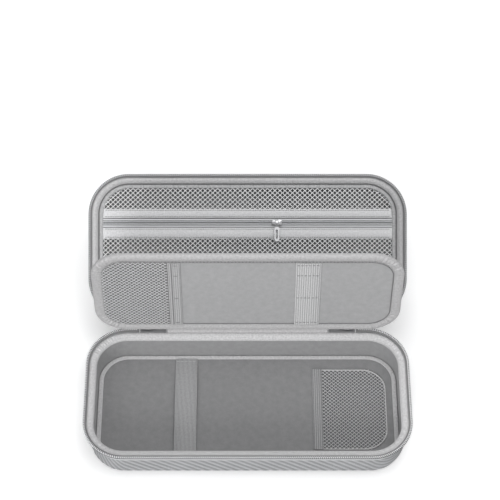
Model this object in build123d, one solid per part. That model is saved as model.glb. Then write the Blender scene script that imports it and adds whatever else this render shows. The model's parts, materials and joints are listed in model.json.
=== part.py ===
"""Hard clamshell case for a stethoscope and small instruments.

Two moulded foam shells close on a zip.  A short fabric spine joins them along
the back and carries the carry handle, the two zip sliders and their pulls.
A padded divider is hinged at the back rim, and the lid has a zipped net pocket.

Frame: millimetres, +Z up, origin at the centre of the base's underside, +Y to
the back (the hinge side).  Every piece is built with the case shut and is then
turned about the fold lines into the open position that the case rests in.
"""
import math
import os

from build123d import *

# ---------------------------------------------------------------- the two shells
LENGTH = 296.0            # left to right, across the zip teeth
WIDTH = 135.0             # front to back, across the zip teeth
CORNER_R = 37.6           # plan radius of the corners, at the teeth
BASE_DEPTH = 43.0         # table to the plane where the halves meet
LID_DEPTH = 36.0          # that plane to the crown of the lid
BASE_SHELL_T = 3.0        # moulded foam with its outer skin
LID_SHELL_T = 2.6
LINING_T = 0.8            # knitted lining bonded inside the foam
DRAFT = 4.0               # lean of the walls, degrees
EDGE_R = 10.0             # round between wall and flat
LIP_INSET = 3.5           # outer wall at the lip, in from the teeth
LIP_DROP = 6.5            # lip of the shell, below the meeting plane

# ---------------------------------------------------------------- rim and zip
BINDING_OUT = 3.6         # rolled rim binding, outer edge in from the teeth
BINDING_W = 6.2
BINDING_DROP = 3.0        # crest of the rim binding, below the meeting plane
BINDING_LEG = 1.4         # how far its inner leg reaches down past the lip
BINDING_R = 1.6           # roll of its crest
TAPE_T = 0.8              # zip tape
TAPE_SEAM = 10.5          # where the tape is sewn to the wall, below the plane
TEETH_W = 1.9             # one row of coil, in from the outermost line
TEETH_H = 2.0
TEETH_GAP = 0.3           # the coil stops short of the meeting plane
SEW_GAP = 0.1             # play between pieces that are sewn side by side
FOLD_GAP = 0.35           # play beside a fold that moves

# ---------------------------------------------------------------- spine and fold
SPINE_H = 18.0            # seam to seam, over the shut zip
SPINE_INSET = 2.5         # fold lines, in from the teeth line
SPINE_BULGE = 1.6         # how far its middle stands out from its seams
SPINE_T = 0.8
BACK_RUN = 10.4           # open zip on the back, between the spine's end and the corner
ZIP_END_L = 24.0          # shut zip at each end of the spine, beside the cover
COVER_T = 0.8             # outer cover strip
COVER_TAB_L = 6.0         # folded tab at each end of the cover
COVER_TAB_T = 0.7
OPEN_ANGLE = 146.0        # lid opening at rest
DIVIDER_ANGLE = 93.9      # divider lift at rest

# ---------------------------------------------------------------- floor of the base
BOARD_T = 1.8             # stiffener under the floor pad
PAD_T = 3.0
PAD_INSET = 10.1          # edge of the floor pad, in from the teeth line
PAD_ROUND = 2.0           # round under the pad's edge
PAD_BINDING_W = 4.0
PAD_BINDING_T = 0.6
STRAP_FROM_END = 91.0     # elastic strap across the floor, in from the left end
STRAP_W = 20.5
STRAP_T = 1.2
STRAP_BOW = 2.2
POCKET_FROM_END = 88.0    # mouth of the floor net, in from the right end
POCKET_END_INSET = 20.0   # its far edge
POCKET_HALF = 42.0
POCKET_CORNER_R = 21.0
ELASTIC_W = 9.0
ELASTIC_T = 1.6
NET_T = 0.6

# ---------------------------------------------------------------- lid pocket
POCKET_DROP = 9.4         # net of the lid, behind the meeting plane
FRAME_OUT = 7.4           # bound edge of the net panel, in from the teeth line
FRAME_W = 5.9
FRAME_T = 1.4
UPPER_BAND = 32.4         # from the front teeth line to the upper band
UPPER_BAND_W = 8.7
LOWER_BAND_W = 10.4
BAND_T = 1.0
ZIP_W = 8.8               # both tapes of the pocket zip
ROW_W = 1.4               # one row of its coil
ROW_GAP = 0.8             # between the rows
ROW_T = 1.5
POCKET_SLIDER_X = 27.3
POCKET_SLIDER_L = 9.6
POCKET_SLIDER_W = 6.4
PIN_R = 1.1               # pin that the pocket pull turns on
PIN_H = 1.9
PIN_CAP_R = 1.9
PIN_CAP_T = 0.6
POCKET_PULL_L = 20.0
POCKET_PULL_W = 5.2
POCKET_PULL_T = 1.3
POCKET_PULL_RIM = 1.5     # metal left around its window

# ---------------------------------------------------------------- divider
DIVIDER_SIDE = 8.6        # its ends, in from the teeth line
DIVIDER_FRONT = 17.6      # its free edge, in from the front teeth line when shut
DIVIDER_BACK = 6.1        # its hinge edge, in from the back teeth line
DIVIDER_R = 30.1
DIVIDER_T = 4.4           # over its rolled binding
DIVIDER_ROUND = 1.9       # roll of its outer edge
DIVIDER_BINDING_W = 9.6
DIVIDER_PANEL_T = 3.4
DIVIDER_AXIS_INSET = 3.3  # hinge line, in from the teeth line
DIVIDER_AXIS_DROP = 2.0   # hinge line, below the meeting plane
DIVIDER_HINGE_SHORT = 2.0 # its fabric hinge, short of the cover's end
DIVIDER_HINGE_T = 1.0
DIVIDER_ANCHOR_H = 2.0
DIVIDER_NET_FROM_END = 8.4      # net pocket, in from the divider's left end
DIVIDER_NET_L = 59.8
DIVIDER_BAND_L = (3.2, 7.7)     # narrow and wide elastic at the net's mouth
DIVIDER_BAND_GAP = 0.4
DIVIDER_STRAP_FROM_END = 85.4   # elastic strap, in from the divider's right end
DIVIDER_STRAP_W = 22.5

# ---------------------------------------------------------------- handle
HANDLE_SEAM = 2.0         # ends of the handle, in from the cover's ends
HANDLE_STRAP_L = 18.0     # flat strap between the seam and the grip
HANDLE_STRAP_T = 1.6
GRIP_RISE = 9.5           # grip's ends, out from the cover
GRIP_CROWN = 20.0         # grip's middle, out from the cover
GRIP_W = 10.0
GRIP_T = 6.4
GRIP_ROUND = 2.9
KNEE_ALONG = 7.0          # bend of the strap, in from its root
KNEE_LIFT = 0.8
ROOT_HALF = 1.2           # half width of the strap at its seam
ROOT_SPREAD = 3.0         # its widening for each millimetre out from the seam

# ---------------------------------------------------------------- main sliders
SLIDER_PARK = 8.5         # middle of a slider, in from the spine's end
SLIDER_L = 15.0
SLIDER_W = 9.6
SLIDER_NOSE = 0.62        # closed end of any slider, as a share of its width
SLIDER_MOUTH = 0.77       # open end, likewise
PLATE_T = 0.9
CHAIN_ROW_W = 2.0
CHAIN_GAP = 1.0
CHAIN_T = 2.1
POST_T = 0.6
BAIL_L = 6.8
BAIL_RISE = 3.0
BAIL_T = 1.1
BAIL_HALF_W = 1.4
WIRE_D = 1.2              # wire ring through the bail
RING_PLAY = 0.35
RING_L = 7.0
RING_W = 9.0
RING_R = 1.5
TAB_L = 21.0              # soft tab folded round the ring
TAB_W = 12.0
TAB_NECK = 4.4
TAB_T = 3.0
TAB_ROUND = 0.9

# ---------------------------------------------------------------- values that follow
HALF_L = LENGTH / 2
HALF_W = WIDTH / 2
PLANE_Z = BASE_DEPTH
LEAN = math.tan(math.radians(DRAFT))
SPINE_HALF = HALF_L - CORNER_R - BACK_RUN
COVER_HALF = SPINE_HALF - ZIP_END_L
ZIP_START = SPINE_HALF + FOLD_GAP
FOLD = OPEN_ANGLE / 2
FOLD_Y = HALF_W - SPINE_INSET
DIVIDER_AXIS_Y = HALF_W - DIVIDER_AXIS_INSET
CHAIN_Y = FOLD_Y - SEW_GAP + SPINE_BULGE + SPINE_T / 2
BASE_FOLD = Axis((0, FOLD_Y, PLANE_Z - SPINE_H / 2), (1, 0, 0))
LID_FOLD = Axis((0, FOLD_Y, PLANE_Z + SPINE_H / 2), (1, 0, 0))
DIVIDER_AXIS = Axis((0, DIVIDER_AXIS_Y, PLANE_Z - DIVIDER_AXIS_DROP), (1, 0, 0))


# ================================================================ shared shapes
def plan(inset, z):
    """Rounded rectangle of the case's plan, taken in by inset, at height z."""
    outline = RectangleRounded(LENGTH - 2 * inset, WIDTH - 2 * inset, CORNER_R - inset)
    return Plane.XY.offset(z) * outline


def ring(outer, inner, low, high):
    """Flat band that follows the plan between two insets."""
    return extrude(plan(outer, low) - plan(inner, low), amount=high - low)


def wall_inset(drop):
    """Inset of the shell's outer wall at a depth below the meeting plane."""
    return LIP_INSET + (drop - LIP_DROP) * LEAN


def drafted_block(inset, drop, depth, edge_r):
    """Solid of a half's form: leaning walls, and a round into the flat."""
    face = Plane.XY.offset(-drop) * Rot(180, 0, 0) * RectangleRounded(
        LENGTH - 2 * inset, WIDTH - 2 * inset, CORNER_R - inset)
    block = extrude(face, amount=depth - drop, taper=DRAFT)
    return fillet(block.edges().group_by(Axis.Z)[0], edge_r)


def tray(inset, drop, depth, edge_r, wall):
    """Open tray of even wall, lip at drop and flat at depth."""
    outside = drafted_block(inset, drop, depth, edge_r)
    inside = drafted_block(inset + wall, drop, depth - wall, edge_r - wall)
    return outside - inside


def rim_strip(points):
    """Section of (inset, height) points, carried along the zip from the back right, round
    the front, to the back left."""
    corners = [(ZIP_START, HALF_W), (HALF_L, HALF_W), (HALF_L, -HALF_W),
               (-HALF_L, -HALF_W), (-HALF_L, HALF_W), (-ZIP_START, HALF_W)]
    line = FilletPolyline(*corners, radius=CORNER_R)
    start = Plane((ZIP_START, HALF_W, 0), x_dir=(0, -1, 0), z_dir=(-1, 0, 0))
    return sweep(start * make_face(Polyline(*points, close=True)), path=line)


def across(points, half_length):
    """Prism along X, the same each side of the middle, from (y, z) points."""
    section = Plane.YZ * make_face(Polyline(*points, close=True))
    return extrude(section, amount=half_length, both=True)


def bow(reach, seat, rise, thick):
    """Side view of a strip held down at both ends and bowed between them."""
    under = ThreePointArc((-reach, seat), (0, seat + rise), (reach, seat))
    over = ThreePointArc((reach, seat + thick), (0, seat + rise + thick), (-reach, seat + thick))
    return make_face(Curve() + [under, Line(under @ 1, over @ 0), over, Line(over @ 1, under @ 0)])


def slab(x_low, x_high, y_low, y_high, z_low, z_high):
    """Block between two corners."""
    size = (x_high - x_low, y_high - y_low, z_high - z_low)
    return Pos(x_low, y_low, z_low) * Box(*size, align=(Align.MIN, Align.MIN, Align.MIN))


def plate(inset, low, high):
    """Plate that follows the plan."""
    return extrude(plan(inset, low), amount=high - low)


def mirrored(shape):
    """The same shape on the other side of the case."""
    return mirror(shape, about=Plane.YZ)


# ================================================================ a half of the case
def half_pieces(depth, shell_t):
    """Shell, lining, rim binding, tape and coil of one half.

    Built below the meeting plane at z = 0; the lid's are flipped over.
    """
    lining_r = EDGE_R - shell_t
    shell = tray(LIP_INSET, LIP_DROP, depth, EDGE_R, shell_t)
    lining = tray(LIP_INSET + shell_t, LIP_DROP, depth - shell_t, lining_r, LINING_T)

    inner = BINDING_OUT + BINDING_W
    crown = ring(BINDING_OUT, inner, -LIP_DROP, -BINDING_DROP)
    crown = fillet(crown.edges().group_by(Axis.Z)[-1], BINDING_R)
    leg_out = wall_inset(LIP_DROP + BINDING_LEG) + shell_t + LINING_T + SEW_GAP
    leg = ring(leg_out, inner, -LIP_DROP - BINDING_LEG, -LIP_DROP)
    binding = crown + leg

    tip_drop = TEETH_GAP + TEETH_H
    tape = rim_strip([
        (wall_inset(TAPE_SEAM), -TAPE_SEAM),
        (LIP_INSET, -LIP_DROP),
        (TEETH_W - TAPE_T / 2, -tip_drop),
        (TEETH_W - 3 * TAPE_T / 2, -tip_drop),
        (LIP_INSET - TAPE_T, -LIP_DROP),
        (wall_inset(TAPE_SEAM) - TAPE_T, -TAPE_SEAM)])
    bevel = TEETH_W / 4
    teeth = rim_strip([
        (bevel, -tip_drop), (TEETH_W - bevel, -tip_drop),
        (TEETH_W, -tip_drop + bevel), (TEETH_W, -TEETH_GAP - bevel),
        (TEETH_W - bevel, -TEETH_GAP), (bevel, -TEETH_GAP),
        (0, -TEETH_GAP - bevel), (0, -tip_drop + bevel)])

    seam_top = SPINE_H / 2 + FOLD_GAP
    seam_low = SPINE_H / 2 + SPINE_H / 4
    flange = across([
        (HALF_W - wall_inset(seam_top), -seam_top),
        (HALF_W - wall_inset(seam_top) + SPINE_T, -seam_top),
        (HALF_W - wall_inset(seam_low) + SPINE_T, -seam_low),
        (HALF_W - wall_inset(seam_low), -seam_low)], COVER_HALF)
    return {"shell": shell, "lining": lining, "rim_binding": binding,
            "zip_tape": tape, "zip_teeth": teeth, "hinge_flange": flange}


# ================================================================ floor of the base
def floor_pieces():
    """Stiffener, bound pad, elastic strap and net pocket on the base's floor."""
    board_low = BASE_SHELL_T + LINING_T
    pad_low = board_low + BOARD_T
    pad_top = pad_low + PAD_T
    board = plate(wall_inset(BASE_DEPTH) + EDGE_R, board_low, pad_low)
    pad = plate(PAD_INSET, pad_low, pad_top)
    pad = fillet(pad.edges().group_by(Axis.Z)[0], PAD_ROUND)
    binding = ring(PAD_INSET, PAD_INSET + PAD_BINDING_W, pad_top, pad_top + PAD_BINDING_T)

    reach = HALF_W - PAD_INSET - PAD_BINDING_W - SEW_GAP
    strap = Plane.YZ * bow(reach, pad_top, STRAP_BOW, STRAP_T)
    strap = Pos(STRAP_FROM_END - HALF_L, 0, 0) * extrude(strap, amount=STRAP_W / 2, both=True)

    mouth = HALF_L - POCKET_FROM_END
    net_low = pad_top + (ELASTIC_T - NET_T) / 2
    net = slab(mouth + ELASTIC_W, HALF_L - POCKET_END_INSET, -POCKET_HALF, POCKET_HALF,
               net_low, net_low + NET_T)
    net = fillet(net.edges().filter_by(Axis.Z).group_by(Axis.X)[-1], POCKET_CORNER_R)
    elastic = slab(mouth, mouth + ELASTIC_W, -POCKET_HALF, POCKET_HALF, pad_top, pad_top + ELASTIC_T)
    elastic = chamfer(elastic.edges().filter_by(Axis.Y), ELASTIC_T / 4)
    return {"floor_board": board, "floor_pad": pad, "floor_binding": binding,
            "floor_strap": strap, "floor_net": net, "floor_net_elastic": elastic}


# ================================================================ pocket of the lid
def lid_pocket_pieces():
    """Bound net panel with a zip across it.  Built like the lid's half, below z = 0."""
    back = -POCKET_DROP
    frame_in = FRAME_OUT + FRAME_W
    frame = ring(FRAME_OUT, frame_in, back, back + FRAME_T)
    frame = chamfer(frame.edges().group_by(Axis.Z)[-1], FRAME_T / 4)

    upper_y = -HALF_W + UPPER_BAND
    zip_y = upper_y + UPPER_BAND_W
    lower_y = zip_y + ZIP_W
    net_y = lower_y + LOWER_BAND_W
    field = plan(frame_in + SEW_GAP, back)

    def part_of_field(y_low, y_high, low, high):
        stripe = slab(-HALF_L, HALF_L, y_low, y_high, low, high)
        return extrude(Pos(0, 0, low - back) * field, amount=high - low) & stripe

    net_top = back + NET_T
    upper_net = part_of_field(-HALF_W, upper_y, back, net_top)
    lower_net = part_of_field(net_y, HALF_W, back, net_top)
    upper_band = part_of_field(upper_y, zip_y, back, back + BAND_T)
    lower_band = part_of_field(lower_y, net_y, back, back + BAND_T)

    centre = (zip_y + lower_y) / 2
    row_out = ROW_GAP / 2 + ROW_W
    tapes = part_of_field(zip_y, centre - row_out, back, net_top)
    tapes += part_of_field(centre + row_out, lower_y, back, net_top)
    rows = part_of_field(centre - row_out, centre - ROW_GAP / 2, back, back + ROW_T)
    rows += part_of_field(centre + ROW_GAP / 2, centre + row_out, back, back + ROW_T)

    slider = zip_slider(POCKET_SLIDER_L, POCKET_SLIDER_W, ROW_T + 2 * SEW_GAP, ROW_GAP - 4 * SEW_GAP)
    seat = back - SEW_GAP
    pin_foot = seat + ROW_T + 2 * SEW_GAP + PLATE_T
    centred = (Align.CENTER, Align.CENTER, Align.MIN)
    pin = Cylinder(PIN_R, PIN_H + PIN_CAP_T, align=centred)
    pin += Pos(0, 0, PIN_H) * Cylinder(PIN_CAP_R, PIN_CAP_T, align=centred)
    slider = Pos(POCKET_SLIDER_X, centre, seat) * slider + Pos(POCKET_SLIDER_X, centre, pin_foot) * pin

    to_eye = (POCKET_PULL_L - POCKET_PULL_W) / 2
    window_l = POCKET_PULL_L - POCKET_PULL_W - 2 * (PIN_R + FOLD_GAP + POCKET_PULL_RIM)
    window = SlotOverall(window_l, POCKET_PULL_W - 2 * POCKET_PULL_RIM)
    eye = Pos(-to_eye, 0) * Circle(PIN_R + FOLD_GAP)
    blank = SlotOverall(POCKET_PULL_L, POCKET_PULL_W) - eye - Pos(to_eye - window_l / 2, 0) * window
    pull = Pos(to_eye, 0, 0) * extrude(blank, amount=POCKET_PULL_T)
    pull = Pos(POCKET_SLIDER_X, centre, pin_foot + (PIN_H - POCKET_PULL_T) / 2) * Rot(0, 0, 90) * pull
    return {"lid_net_frame": frame, "lid_net_upper": upper_net, "lid_net_lower": lower_net,
            "lid_band_upper": upper_band, "lid_band_lower": lower_band,
            "pocket_zip_tape": tapes, "pocket_zip_coil": rows,
            "pocket_zip_slider": slider, "pocket_zip_pull": pull}


def zip_slider(length, width, gap, post):
    """Two plates on a post, with side flanges; lies along X, inner plate below z = 0."""
    nose, mouth = width * SLIDER_NOSE / 2, width * SLIDER_MOUTH / 2
    half, shoulder = length / 2, length / 6
    face = make_face(Polyline((-half, -nose), (shoulder, -width / 2), (half, -mouth),
                              (half, mouth), (shoulder, width / 2), (-half, nose), close=True))
    inner = Pos(0, 0, -PLATE_T) * extrude(face, amount=PLATE_T)
    outer = Pos(0, 0, gap) * extrude(face, amount=PLATE_T)
    outer = chamfer(outer.edges().group_by(Axis.Z)[-1], PLATE_T / 3)
    stem = Pos(half - length / 8, 0, gap / 2) * Box(shoulder, post, gap)
    sides = Sketch() + [Pos(length / 8, side * (width - PLATE_T) / 2) * Rectangle(half, PLATE_T / 2)
                        for side in (-1, 1)]
    lip_h = gap / 3
    lips = Pos(0, 0, gap - lip_h) * extrude(sides & face, amount=lip_h)
    return inner + outer + stem + lips


# ================================================================ spine
def spine_layer(lift, thick, half_length):
    """One layer of the spine, bowed out from its seams, lift out from the innermost."""
    end = SPINE_H / 2 - FOLD_GAP - SEW_GAP
    face = bow(end, FOLD_Y - SEW_GAP + lift, SPINE_BULGE, thick)
    side_on = Plane((0, 0, 0), x_dir=(0, 0, 1), z_dir=(-1, 0, 0))
    return extrude(side_on * face, amount=half_length, both=True)


def spine_pieces():
    """Fabric spine, its cover, and the shut ends of the zip beside it."""
    fabric = spine_layer(0, SPINE_T, COVER_HALF)
    cover = spine_layer(SPINE_T, COVER_T, COVER_HALF)
    tab_x = COVER_HALF - COVER_TAB_L
    tabs = spine_layer(SPINE_T + COVER_T, COVER_TAB_T, COVER_HALF)
    tabs -= slab(-tab_x, tab_x, 0, WIDTH, -SPINE_H, SPINE_H)

    zip_x = COVER_HALF + SEW_GAP
    row_in, row_out = CHAIN_GAP / 2, CHAIN_GAP / 2 + CHAIN_ROW_W
    tapes = spine_layer(0, SPINE_T, SPINE_HALF)
    tapes -= slab(-zip_x, zip_x, 0, WIDTH, -SPINE_H, SPINE_H)
    tapes -= slab(-SPINE_HALF, SPINE_HALF, 0, WIDTH, -row_out, row_out)
    row = slab(zip_x, SPINE_HALF, CHAIN_Y - CHAIN_T / 2, CHAIN_Y + CHAIN_T / 2, row_in, row_out - SEW_GAP)
    rows = row + mirror(row, about=Plane.XY)
    return {"spine_fabric": fabric, "hinge_cover": cover, "hinge_cover_tabs": tabs,
            "spine_zip_tape": tapes, "spine_zip_coil": rows + mirrored(rows)}


# ================================================================ main sliders
def main_slider():
    """Right-hand slider on the spine's shut end of zip, with the bail for its ring."""
    gap = CHAIN_T + 2 * SEW_GAP
    body = zip_slider(SLIDER_L, SLIDER_W, gap, POST_T)
    arch = SlotOverall(BAIL_L, 2 * BAIL_RISE) - SlotOverall(BAIL_L - 2 * BAIL_T, 2 * (BAIL_RISE - BAIL_T))
    arch = extrude(Plane.XZ * arch, amount=BAIL_HALF_W, both=True)
    arch &= slab(-SLIDER_L, SLIDER_L, -SLIDER_W, SLIDER_W, -PLATE_T / 3, SLIDER_L)
    body += Pos(0, 0, gap + PLATE_T) * arch
    return Plane((SPINE_HALF - SLIDER_PARK, CHAIN_Y - gap / 2, 0), x_dir=(1, 0, 0), z_dir=(0, 1, 0)) * body


def slider_pull():
    """Wire ring under the bail, and the soft tab folded round its far side."""
    slider_x = SPINE_HALF - SLIDER_PARK
    eye = CHAIN_Y + CHAIN_T / 2 + SEW_GAP + PLATE_T + RING_PLAY + WIRE_D / 2
    outward = Plane((slider_x, eye, 0), x_dir=(0, 1, 0), z_dir=(1, 0, 0))
    far = RING_L - WIRE_D
    path = (outward * Pos(far / 2, 0) * RectangleRounded(far, RING_W - WIRE_D, RING_R)).wire()
    loop = sweep(Plane(path @ 0, z_dir=path % 0) * Circle(WIRE_D / 2), path=path)

    side = TAB_L - TAB_W / 2
    profile = make_face(Curve() + [
        Line((0, -TAB_NECK / 2), (0, TAB_NECK / 2)),
        Line((0, TAB_NECK / 2), (side, TAB_W / 2)),
        ThreePointArc((side, TAB_W / 2), (TAB_L, 0), (side, -TAB_W / 2)),
        Line((side, -TAB_W / 2), (0, -TAB_NECK / 2))])
    wrap = 2 * WIRE_D
    tab = outward * Pos(far - wrap, 0, 0) * extrude(profile, amount=TAB_T / 2, both=True)
    tab = fillet(tab.edges().filter_by(lambda e: abs(e.center().X - slider_x) > TAB_T / 3), TAB_ROUND)
    room = WIRE_D + 2 * SEW_GAP
    channel = outward * Pos(far, 0, 0) * Box(room, 2 * RING_W, room)
    return loop, tab - channel


# ================================================================ handle
def handle_pieces():
    """Padded grip with a flat strap at each end, standing out from the spine."""
    root_x = COVER_HALF - HANDLE_SEAM
    root_y = FOLD_Y - SEW_GAP + SPINE_BULGE + SPINE_T + COVER_T + COVER_TAB_T + FOLD_GAP
    grip_x = root_x - HANDLE_STRAP_L
    arc = ThreePointArc((-grip_x, root_y + GRIP_RISE, 0), (0, root_y + GRIP_CROWN, 0),
                        (grip_x, root_y + GRIP_RISE, 0))
    section = Plane(arc @ 0, x_dir=(0, 0, 1), z_dir=arc % 0) * RectangleRounded(GRIP_W, GRIP_T, GRIP_ROUND)
    grip = sweep(section, path=arc)

    end, along = arc @ 1, arc % 1
    normal = Vector(-along.Y, along.X, 0) * (HANDLE_STRAP_T / 2)
    knee = (root_x - KNEE_ALONG, root_y + KNEE_LIFT)
    strap = make_face(Polyline(
        (end.X - normal.X, end.Y - normal.Y), knee, (root_x, root_y),
        (root_x, root_y + HANDLE_STRAP_T), (knee[0] + KNEE_LIFT, knee[1] + HANDLE_STRAP_T),
        (end.X + normal.X, end.Y + normal.Y), close=True))
    strap = extrude(strap, amount=GRIP_W / 2, both=True)
    wide = ROOT_HALF + ROOT_SPREAD * GRIP_CROWN
    taper = across([(root_y, -ROOT_HALF), (root_y + GRIP_CROWN, -wide),
                    (root_y + GRIP_CROWN, wide), (root_y, ROOT_HALF)], HALF_L)
    strap = strap & taper
    return {"handle_grip": grip, "handle_straps": strap + mirrored(strap)}


# ================================================================ divider
def divider_pieces():
    """Padded panel with a rolled edge, hinged at the back rim; z = 0 is its mid plane."""
    y_back = HALF_W - DIVIDER_BACK
    y_front = DIVIDER_FRONT - HALF_W
    half_l = HALF_L - DIVIDER_SIDE
    seat = -DIVIDER_PANEL_T / 2

    def outline(inset):
        size = RectangleRounded(2 * (half_l - inset), y_back - y_front - 2 * inset, DIVIDER_R - inset)
        return Pos(0, (y_back + y_front) / 2) * size

    rim = extrude(outline(0), amount=DIVIDER_T / 2, both=True)
    flat = rim.edges().group_by(Axis.Z)
    rim = fillet(flat[0] + flat[-1], DIVIDER_ROUND) - extrude(
        outline(DIVIDER_BINDING_W), amount=DIVIDER_T, both=True)
    panel_inset = DIVIDER_BINDING_W + SEW_GAP
    panel = extrude(outline(panel_inset), amount=DIVIDER_PANEL_T / 2, both=True)

    y_far = y_front + panel_inset + SEW_GAP
    y_near = y_back - panel_inset - SEW_GAP
    net_x = DIVIDER_NET_FROM_END - half_l
    mouth = net_x + DIVIDER_NET_L
    net = slab(net_x, mouth, y_far, y_near, seat - NET_T, seat)
    net = net & extrude(outline(panel_inset), amount=DIVIDER_T, both=True)
    narrow, wide = DIVIDER_BAND_L
    bands = slab(mouth + DIVIDER_BAND_GAP, mouth + DIVIDER_BAND_GAP + narrow, y_far, y_near,
                 seat - ELASTIC_T, seat)
    wide_x = mouth + 2 * DIVIDER_BAND_GAP + narrow
    bands += slab(wide_x, wide_x + wide, y_far, y_near, seat - ELASTIC_T, seat)
    strap_x = half_l - DIVIDER_STRAP_FROM_END
    strap = slab(strap_x - DIVIDER_STRAP_W / 2, strap_x + DIVIDER_STRAP_W / 2, y_far, y_near,
                 seat - STRAP_T, seat)

    hinge_half = COVER_HALF - DIVIDER_HINGE_SHORT
    half = DIVIDER_HINGE_T / 2
    hinge = across([(y_back, -half), (y_back, half), (DIVIDER_AXIS_Y, half - DIVIDER_AXIS_DROP),
                    (DIVIDER_AXIS_Y, -half - DIVIDER_AXIS_DROP)], hinge_half)
    hinge += Pos(0, DIVIDER_AXIS_Y, -DIVIDER_AXIS_DROP) * Rot(0, 90, 0) * Cylinder(half, 2 * hinge_half)
    anchor_y = HALF_W - BINDING_OUT
    anchor_top = -DIVIDER_AXIS_DROP - half
    anchor = slab(-hinge_half, hinge_half, anchor_y, anchor_y + SPINE_T - SEW_GAP,
                  anchor_top - DIVIDER_ANCHOR_H, anchor_top)
    return {"divider_binding": rim, "divider_panel": panel, "divider_net": net,
            "divider_net_elastic": bands, "divider_strap": strap, "divider_hinge": hinge}, anchor


# ================================================================ put together
def to_plane(shape):
    """From the meeting plane at z = 0 to its height in the case."""
    return Pos(0, 0, PLANE_Z) * shape


def on_spine(shape):
    return shape.rotate(BASE_FOLD, -FOLD)


def on_lid(shape):
    return on_spine(shape.rotate(LID_FOLD, -FOLD))


def on_divider(shape):
    return shape.rotate(DIVIDER_AXIS, -DIVIDER_ANGLE)


def assemble():
    nodes = {}
    for name, shape in half_pieces(BASE_DEPTH, BASE_SHELL_T).items():
        nodes["base_" + name] = to_plane(shape)
    nodes.update(floor_pieces())
    for name, shape in half_pieces(LID_DEPTH, LID_SHELL_T).items():
        nodes["lid_" + name] = on_lid(to_plane(mirror(shape, about=Plane.XY)))
    for name, shape in lid_pocket_pieces().items():
        nodes[name] = on_lid(to_plane(mirror(shape, about=Plane.XY)))
    for name, shape in spine_pieces().items():
        nodes[name] = on_spine(to_plane(shape))
    for name, shape in handle_pieces().items():
        nodes[name] = on_spine(to_plane(shape))
    slider = main_slider()
    loop, tab = slider_pull()
    for side, place in (("right", lambda s: s), ("left", mirrored)):
        nodes["zip_slider_" + side] = on_spine(to_plane(place(slider)))
        nodes["pull_ring_" + side] = on_spine(to_plane(place(loop)))
        nodes["pull_tab_" + side] = on_spine(to_plane(place(tab)))
    divider, anchor = divider_pieces()
    for name, shape in divider.items():
        nodes[name] = on_divider(to_plane(shape))
    nodes["divider_anchor"] = to_plane(anchor)
    return nodes


os.makedirs("parts", exist_ok=True)
for node, solid in assemble().items():
    export_step(solid, f"parts/{node}.step")
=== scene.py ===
"""Looks of an open hard-shell zip case with a padded divider, net pockets and a carry handle."""
import json
import math
import bmesh
import bpy
import numpy as np
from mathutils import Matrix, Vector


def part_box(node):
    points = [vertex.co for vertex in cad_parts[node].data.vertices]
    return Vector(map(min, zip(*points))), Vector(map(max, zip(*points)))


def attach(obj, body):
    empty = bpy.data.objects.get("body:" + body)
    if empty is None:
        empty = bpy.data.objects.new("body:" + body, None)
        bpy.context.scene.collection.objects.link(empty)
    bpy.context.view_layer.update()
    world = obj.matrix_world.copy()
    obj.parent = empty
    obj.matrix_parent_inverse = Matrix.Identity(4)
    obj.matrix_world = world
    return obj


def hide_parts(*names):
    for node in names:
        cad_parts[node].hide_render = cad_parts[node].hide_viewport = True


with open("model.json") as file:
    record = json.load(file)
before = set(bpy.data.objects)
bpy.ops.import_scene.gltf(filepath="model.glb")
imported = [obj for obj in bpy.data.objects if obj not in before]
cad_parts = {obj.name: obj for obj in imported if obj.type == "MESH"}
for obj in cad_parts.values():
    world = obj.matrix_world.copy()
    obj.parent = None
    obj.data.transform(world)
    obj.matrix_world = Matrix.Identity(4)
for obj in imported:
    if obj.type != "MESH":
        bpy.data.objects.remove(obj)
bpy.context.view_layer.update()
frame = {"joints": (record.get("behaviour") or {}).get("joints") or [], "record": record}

# ---- Moulded shells -----------------------------------------------------------------------
# Two trays of moulded foam under coated cloth.  The cloth is pressed into slanting ribs that
# run on from the flat over the rounded edge and down the wall, up to where the zip is sewn.
MM = 0.001
joints = {joint["name"]: joint for joint in frame["joints"]}
teeth_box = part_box("base_zip_teeth")
TEETH_GAP = 0.3 * MM
HALF_L, HALF_W = teeth_box[1].x, teeth_box[1].y
PLANE_Z = teeth_box[1].z + TEETH_GAP
CORNER_R = 37.6 * MM
BASE_DEPTH, LID_DEPTH = PLANE_Z, 36 * MM
BASE_SHELL_T, LID_SHELL_T, LINING_T = 3 * MM, 2.6 * MM, 0.8 * MM
LIP_INSET, LIP_DROP = 3.5 * MM, 6.5 * MM
DRAFT, EDGE_R = math.radians(4), 10 * MM
TAPE_SEAM = 10.5 * MM
SHUT = math.radians(joints["spine_fold"]["range_deg"][1])
BASE_FOLD = np.array(joints["spine_fold"]["pos_m"])
LID_FOLD = np.array(joints["lid_fold"]["pos_m"])
RIB_PITCH, RIB_DEPTH, RIB_SLANT = 5.9 * MM, 0.32 * MM, math.radians(42)

RIM_LENGTH = 4 * (HALF_L + HALF_W) - (8 - 2 * math.pi) * CORNER_R


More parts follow.
